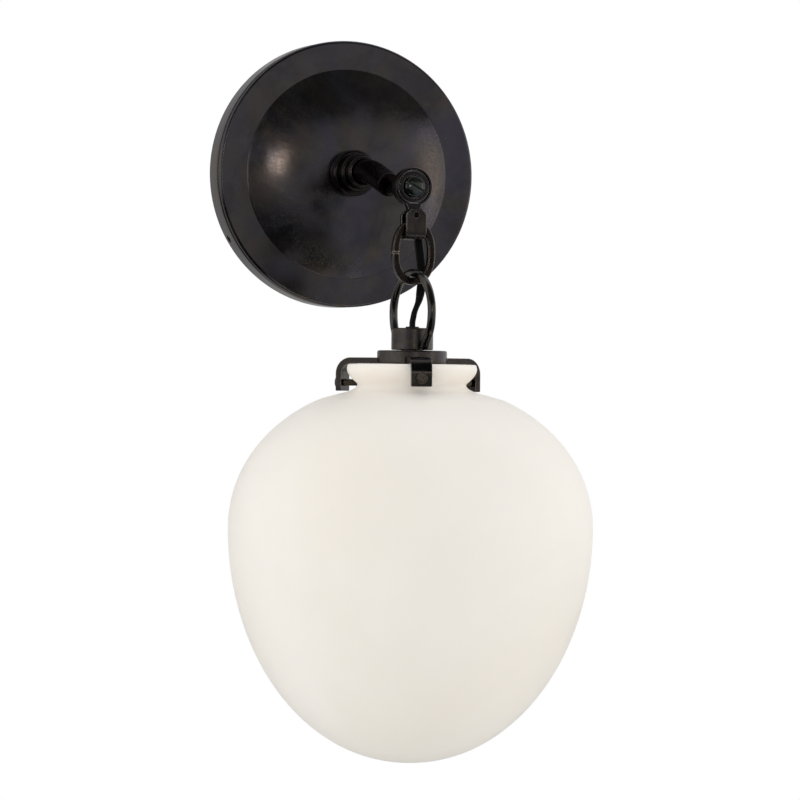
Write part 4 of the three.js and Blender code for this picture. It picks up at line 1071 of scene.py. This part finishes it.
def claw(index):
    way = claw_way(index)
    aside = Vector((0, 0, 1)).cross(way)
    middle = CLAW_THICKNESS / 2
    bend_out, bend_drop = CLAW_REACH - CLAW_BEND, CLAW_TOP + CLAW_BEND
    bottom = claw_bottom(index)
    flat = [(CLAW_INNER + (bend_out - CLAW_INNER) * k / 8, -(CLAW_TOP + middle)) for k in range(8)]
    bend = arc(bend_out, -bend_drop, CLAW_BEND - middle, 90, 0, 18)
    shares = [math.sin(math.pi / 2 * k / 5) for k in range(6)]
    foot = [(CLAW_REACH - middle, -(bottom - CLAW_CORNER + CLAW_CORNER * share)) for share in shares]
    narrow = [1 - CLAW_CORNER / CLAW_WIDTH * 2 * (1 - math.sqrt(max(1 - share**2, 0))) for share in shares]
    points = flat + bend + foot
    line = [Vector((way.x * out, way.y * out - PLUMB_OUT, up)) for out, up in points]
    widths = [1] * (len(flat) + len(bend)) + narrow
    form = sweep(line, rectangle(CLAW_WIDTH / 2, middle), aside, widths=widths)
    start = way * (CLAW_REACH - CLAW_THICKNESS - 1) + Vector((0, -PLUMB_OUT, -claw_level(index)))
    hole = drill(CLAW_SCREW_RADIUS + GAP, 0, 2 * CLAW_THICKNESS, start, way)
    name = CLAW_NAMES[index]
    piece(
        f"holder_claw_{name}", form, "lamp", CLAW_BRONZE, f"claw_{name}",
        cuts=[hole], edge=0.3, edge_angle=32,
    )


def claw_screw(index):
    name = CLAW_NAMES[index]
    way = claw_way(index)
    level = claw_level(index)
    tip = neck_radius(level) + 0.35
    seat = CLAW_REACH + GAP
    end = seat + CLAW_SCREW_HEIGHT
    profile = [(0, tip), (0.5, tip + 0.05), (CLAW_SCREW_RADIUS - 0.1, tip + 1.4)]
    turns = int((seat - tip - 2.4) / THREAD_PITCH)
    for k in range(turns):
        start = tip + CLAW_SCREW_BITE + THREAD_PITCH * k
        profile += [(CLAW_SCREW_RADIUS, start), (CLAW_SCREW_RADIUS - THREAD_DEPTH, start + THREAD_PITCH / 2)]
    profile += [(CLAW_SCREW_RADIUS, seat - 0.2), (CLAW_SCREW_RADIUS, seat), (CLAW_SCREW_HEAD - 0.1, seat)]
    profile += [(CLAW_SCREW_HEAD, seat + 0.15)]
    profile += arc(CLAW_SCREW_HEAD - 0.4, end - 0.4, 0.4, 0, 90, 4)
    profile += [(1.55, end), (1.4, end - DIMPLE), (0, end - DIMPLE)]
    centre = Vector((0, -PLUMB_OUT, -level))
    form = placed(lathe(profile, 48), towards(centre, way))
    socket = drill(SOCKET_RADIUS, end - SOCKET_DEPTH, end + 1, centre, way, 6)
    piece(
        f"grip_screw_{name}", form, f"{name}_screw", HOLDER_BRONZE, f"claw_screw_{name}",
        cuts=[socket],
    )


# Glass shade

SHADE_RADIUS = 79.3
SHADE_WIDEST = 157.5
SHADE_BOTTOM = 259.5
SHOULDER_TOP = 94.5
SHOULDER_FULLNESS = 2.2
BELLY_FULLNESS = 2.05
GLASS_WALL = 2.8
SHOULDER_START = 0.885  # share of its rise where the neck ends
LIP_TOP = DISC_BOTTOM + GAP
# Radius, and drop below the lip, down the neck's outer side to where the shoulder begins
NECK_SIDE = (
    (28.1, 1.0),
    (28.3, 2.2),
    (27.9, 3.7),
    (27.0, 5.2),
    (25.5, 6.9),
    (24.1, 8.1),
    (23.6, 8.9),
    (24.0, 9.8),
    (25.4, 10.9),
    (28.4, 12.2),
    (32.4, 13.2),
)
NECK = [(radius, LIP_TOP + drop) for radius, drop in NECK_SIDE]


def neck_radius(level):
    for (high, top), (low, bottom) in zip(NECK, NECK[1:]):
        if top <= level <= bottom:
            return high + (low - high) * (level - top) / (bottom - top)
    return NECK[0][0]


def body_outline(inset, steps):
    """The shade's side below the neck, at a distance inside its outer face."""
    radius = SHADE_RADIUS - inset
    rise = SHADE_WIDEST - SHOULDER_TOP - inset
    drop = SHADE_BOTTOM - SHADE_WIDEST - inset
    points = []
    for k in range(steps):
        share = SHOULDER_START * math.cos(math.pi / 2 * k / steps)
        points.append((radius * (1 - share**2) ** (1 / SHOULDER_FULLNESS), SHADE_WIDEST - rise * share))
    for k in range(steps + 1):
        share = math.sin(math.pi / 2 * k / steps)
        points.append((radius * max(1 - share**2, 0) ** (1 / BELLY_FULLNESS), SHADE_WIDEST + drop * share))
    return points


def glass_shade():
    outer = body_outline(0, 44)
    inner = body_outline(GLASS_WALL, 30)
    neck = spline([(radius, drop, 0) for radius, drop in NECK] + [(*outer[0], 0)], 0.7)[:-1]
    outside = [(point.x, point.y) for point in neck] + outer
    lip = arc(NECK[0][0] - 0.9, LIP_TOP + 0.9, 0.9, -90, -10, 5)
    throat = [(radius - GLASS_WALL, drop) for radius, drop in reversed(NECK[:7])]
    under = [(NECK[6][0] - GLASS_WALL + 0.4, NECK[6][1] + GLASS_WALL * 0.9)]
    inside = list(reversed(inner)) + under + throat
    inside += arc(NECK[0][0] - GLASS_WALL + 0.8, LIP_TOP + 0.8, 0.8, 180, 270, 4)
    form = placed(lathe(outside + inside + lip, 192), HANGING)
    piece("opal_shade", form, "lamp", OPAL, "glass_shade", crease=60)


backplate()
collar()
arm()
exit_bushing()
spindle()
knuckle()
pivot_screw()
shackle()
shackle_pin()
chain_link()
bow()
hub()
hub_bushing()
holder_disc()
for number in range(len(CLAW_NAMES)):
    claw(number)
    claw_screw(number)
glass_shade()

# CAD nodes that stay as they are, by finish
KEPT = [
    (ZINC, "mounting_pan arm_nipple lock_washer lock_nut holder_stem stem_nut"),
    (ARM_BRONZE, "side_screw_top side_screw_left side_screw_right"),
    (HOLDER_BRONZE, "clamp_plate"),
    (LAMP_BRASS, "socket_shell socket_contact bulb_base"),
    (GREEN_SCREW, "ground_screw"),
    (GREEN_LEAD, "ground_lead"),
    (CORD_SKIN, "supply_cord lead_left"),
    (PALE_LEAD, "lead_right"),
    (CONNECTOR, "wire_connector_left wire_connector_right"),
    (PHENOLIC, "socket_body"),
    (FROSTED, "bulb_glass"),
]
for finish, node_names in KEPT:
    for node_name in node_names.split():
        kept = frame["nodes"][node_name]
        kept.data.materials.clear()
        kept.data.materials.append(finish)


# Floor, light and background

FLOOR_DROP = 560
FLOOR_REACH = 3000
FLOOR_LIFT = 0.28  # what whitens the floor for the camera
# What metal mirrors of the floor: in front from left to right, and behind
MIRRORED_LEFT = 0.02
MIRRORED_RIGHT = 0.36
MIRRORED_BEHIND = 0.4
# What metal mirrors high up and low down, as shares of the ring round about
CEILING_SHARE = 0.2
LOW_SHARE = 0.14
SOFT_LIGHT = (0.9, 0.9, 0.9)
LAMP_TARGET = Vector((0, -0.05, -0.08))
WHITE = (1, 1, 1)


def floor():
    """Pale for the light, white for the camera and toned for what metal mirrors."""
    material, n, where = new_material("floor")
    seen, in_mirror = n.rays()
    colour = n.mix(n.noise(where, 3.0), (0.86, 0.86, 0.85), (0.89, 0.89, 0.88))
    pale = n.add("BsdfDiffuse", {"Color": colour})
    place = n.add("SeparateXYZ", {"Vector": where}).outputs
    front = n.ramp(place["X"], 0.0, 0.45, MIRRORED_LEFT, MIRRORED_RIGHT)
    level = n.ramp(place["Y"], -0.05, 0.15, front, MIRRORED_BEHIND)
    mirrored = n.add("Emission", {"Color": (*WHITE, 1), "Strength": level})
    lift = n.math("MULTIPLY", seen, FLOOR_LIFT)
    glow = n.add("Emission", {"Color": (*WHITE, 1), "Strength": lift})
    lifted = n.add("AddShader", {0: pale.outputs[0], 1: glow.outputs[0]})
    both = n.add("MixShader", {0: in_mirror, 1: lifted.outputs[0], 2: mirrored.outputs[0]})
    n.add("OutputMaterial", {"Surface": both.outputs[0]})
    form = slab(rectangle(FLOOR_REACH, FLOOR_REACH), 2, (1, 0, 0), (0, 1, 0), (0, 0, -FLOOR_DROP))
    made = plain_object("floor", form)
    made.data.materials.append(material)


# What the metal mirrors round about: azimuth in degrees, brightness, warmth
ROOM = [
    (-180, 0.44, 0), (-161, 0.44, 1), (-128, 0.42, 0),
    (-109, 0.65, 0), (-80, 0.85, 0), (-65, 0.9, 0),
    (-47, 0.42, 0), (-24, 0.2, 0), (0, 0.25, 0),
    (19, 0.38, 0), (33, 0.45, 1), (43, 0.6, 1),
    (60, 0.6, 1), (75, 0.7, 0), (96, 0.95, 0),
    (105, 0.9, 0), (140, 0.8, 0), (180, 0.44, 0),
]


def world():
    sky = bpy.data.worlds.new("studio")
    bpy.context.scene.world = sky
    sky.use_nodes = True
    n = Nodes(sky.node_tree)
    seen, in_mirror = n.rays()
    where = n.add("TexCoord").outputs["Generated"]
    way = n.add("SeparateXYZ", {"Vector": where}).outputs
    turn = n.math("ARCTAN2", way["X"], n.math("MULTIPLY", way["Y"], -1))
    turn = n.math("ADD", n.math("MULTIPLY", turn, 1 / (2 * math.pi)), 0.5)
    round_about = n.add("ValToRGB", {"Fac": turn})
    stops = round_about.color_ramp.elements
    for azimuth, *_ in ROOM[1:-1]:
        stops.new(azimuth / 360 + 0.5)
    for stop, (_, level, warmth) in zip(stops, ROOM):
        stop.color = (level, level * (1 - 0.07 * warmth), level * (1 - 0.14 * warmth), 1)
    above = n.ramp(way["Z"], 0.26, 0.33, 1.0, CEILING_SHARE)
    below = n.ramp(way["Z"], -0.2, -0.4, 1.0, LOW_SHARE)
    behind = n.ramp(way["Y"], -0.3, 0.1)
    height = n.math("MAXIMUM", n.math("MULTIPLY", above, below), behind)
    dimmed = n.mix(height, (0, 0, 0), round_about.outputs["Color"])
    soft = n.mix(in_mirror, SOFT_LIGHT, dimmed)
    colour = n.mix(seen, soft, WHITE)
    background = n.add("Background", {"Color": colour})
    n.add("OutputWorld", {"Surface": background.outputs[0]})


def lamp(name, azimuth, elevation, distance, width, height, watts, colour, mirrored):
    """A soft rectangular lamp that looks at the object. Angles are in degrees, lengths in metres."""
    data = bpy.data.lights.new(name, "AREA")
    data.shape = "RECTANGLE"
    data.size, data.size_y = width, height
    data.energy = watts
    data.color = colour
    made = bpy.data.objects.new(name, data)
    bpy.context.scene.collection.objects.link(made)
    turn, lift = math.radians(azimuth), math.radians(elevation)
    way = Vector((math.sin(turn) * math.cos(lift), -math.cos(turn) * math.cos(lift), math.sin(lift)))
    made.location = LAMP_TARGET + way * distance
    made.rotation_euler = way.to_track_quat("Z", "Y").to_euler()
    made.visible_glossy = mirrored


# Name, azimuth, elevation, distance, width, height, watts, colour, whether metal mirrors it
LAMPS = [
    ("softbox_left", -82, 4, 2.0, 0.9, 1.3, 6, WHITE, False),
    ("softbox_right", 70, 4, 2.0, 0.9, 1.3, 5, WHITE, False),
    ("strip_right", 51, 2, 2.2, 0.2, 1.3, 1.1, (1.0, 0.93, 0.84), True),
    ("front_spot", -7.2, 7.7, 2.5, 0.32, 0.32, 1.35, (1.0, 0.9, 0.8), True),
]

floor()
world()
for settings in LAMPS:
    lamp(*settings)

bpy.context.scene.view_settings.view_transform = "Standard"
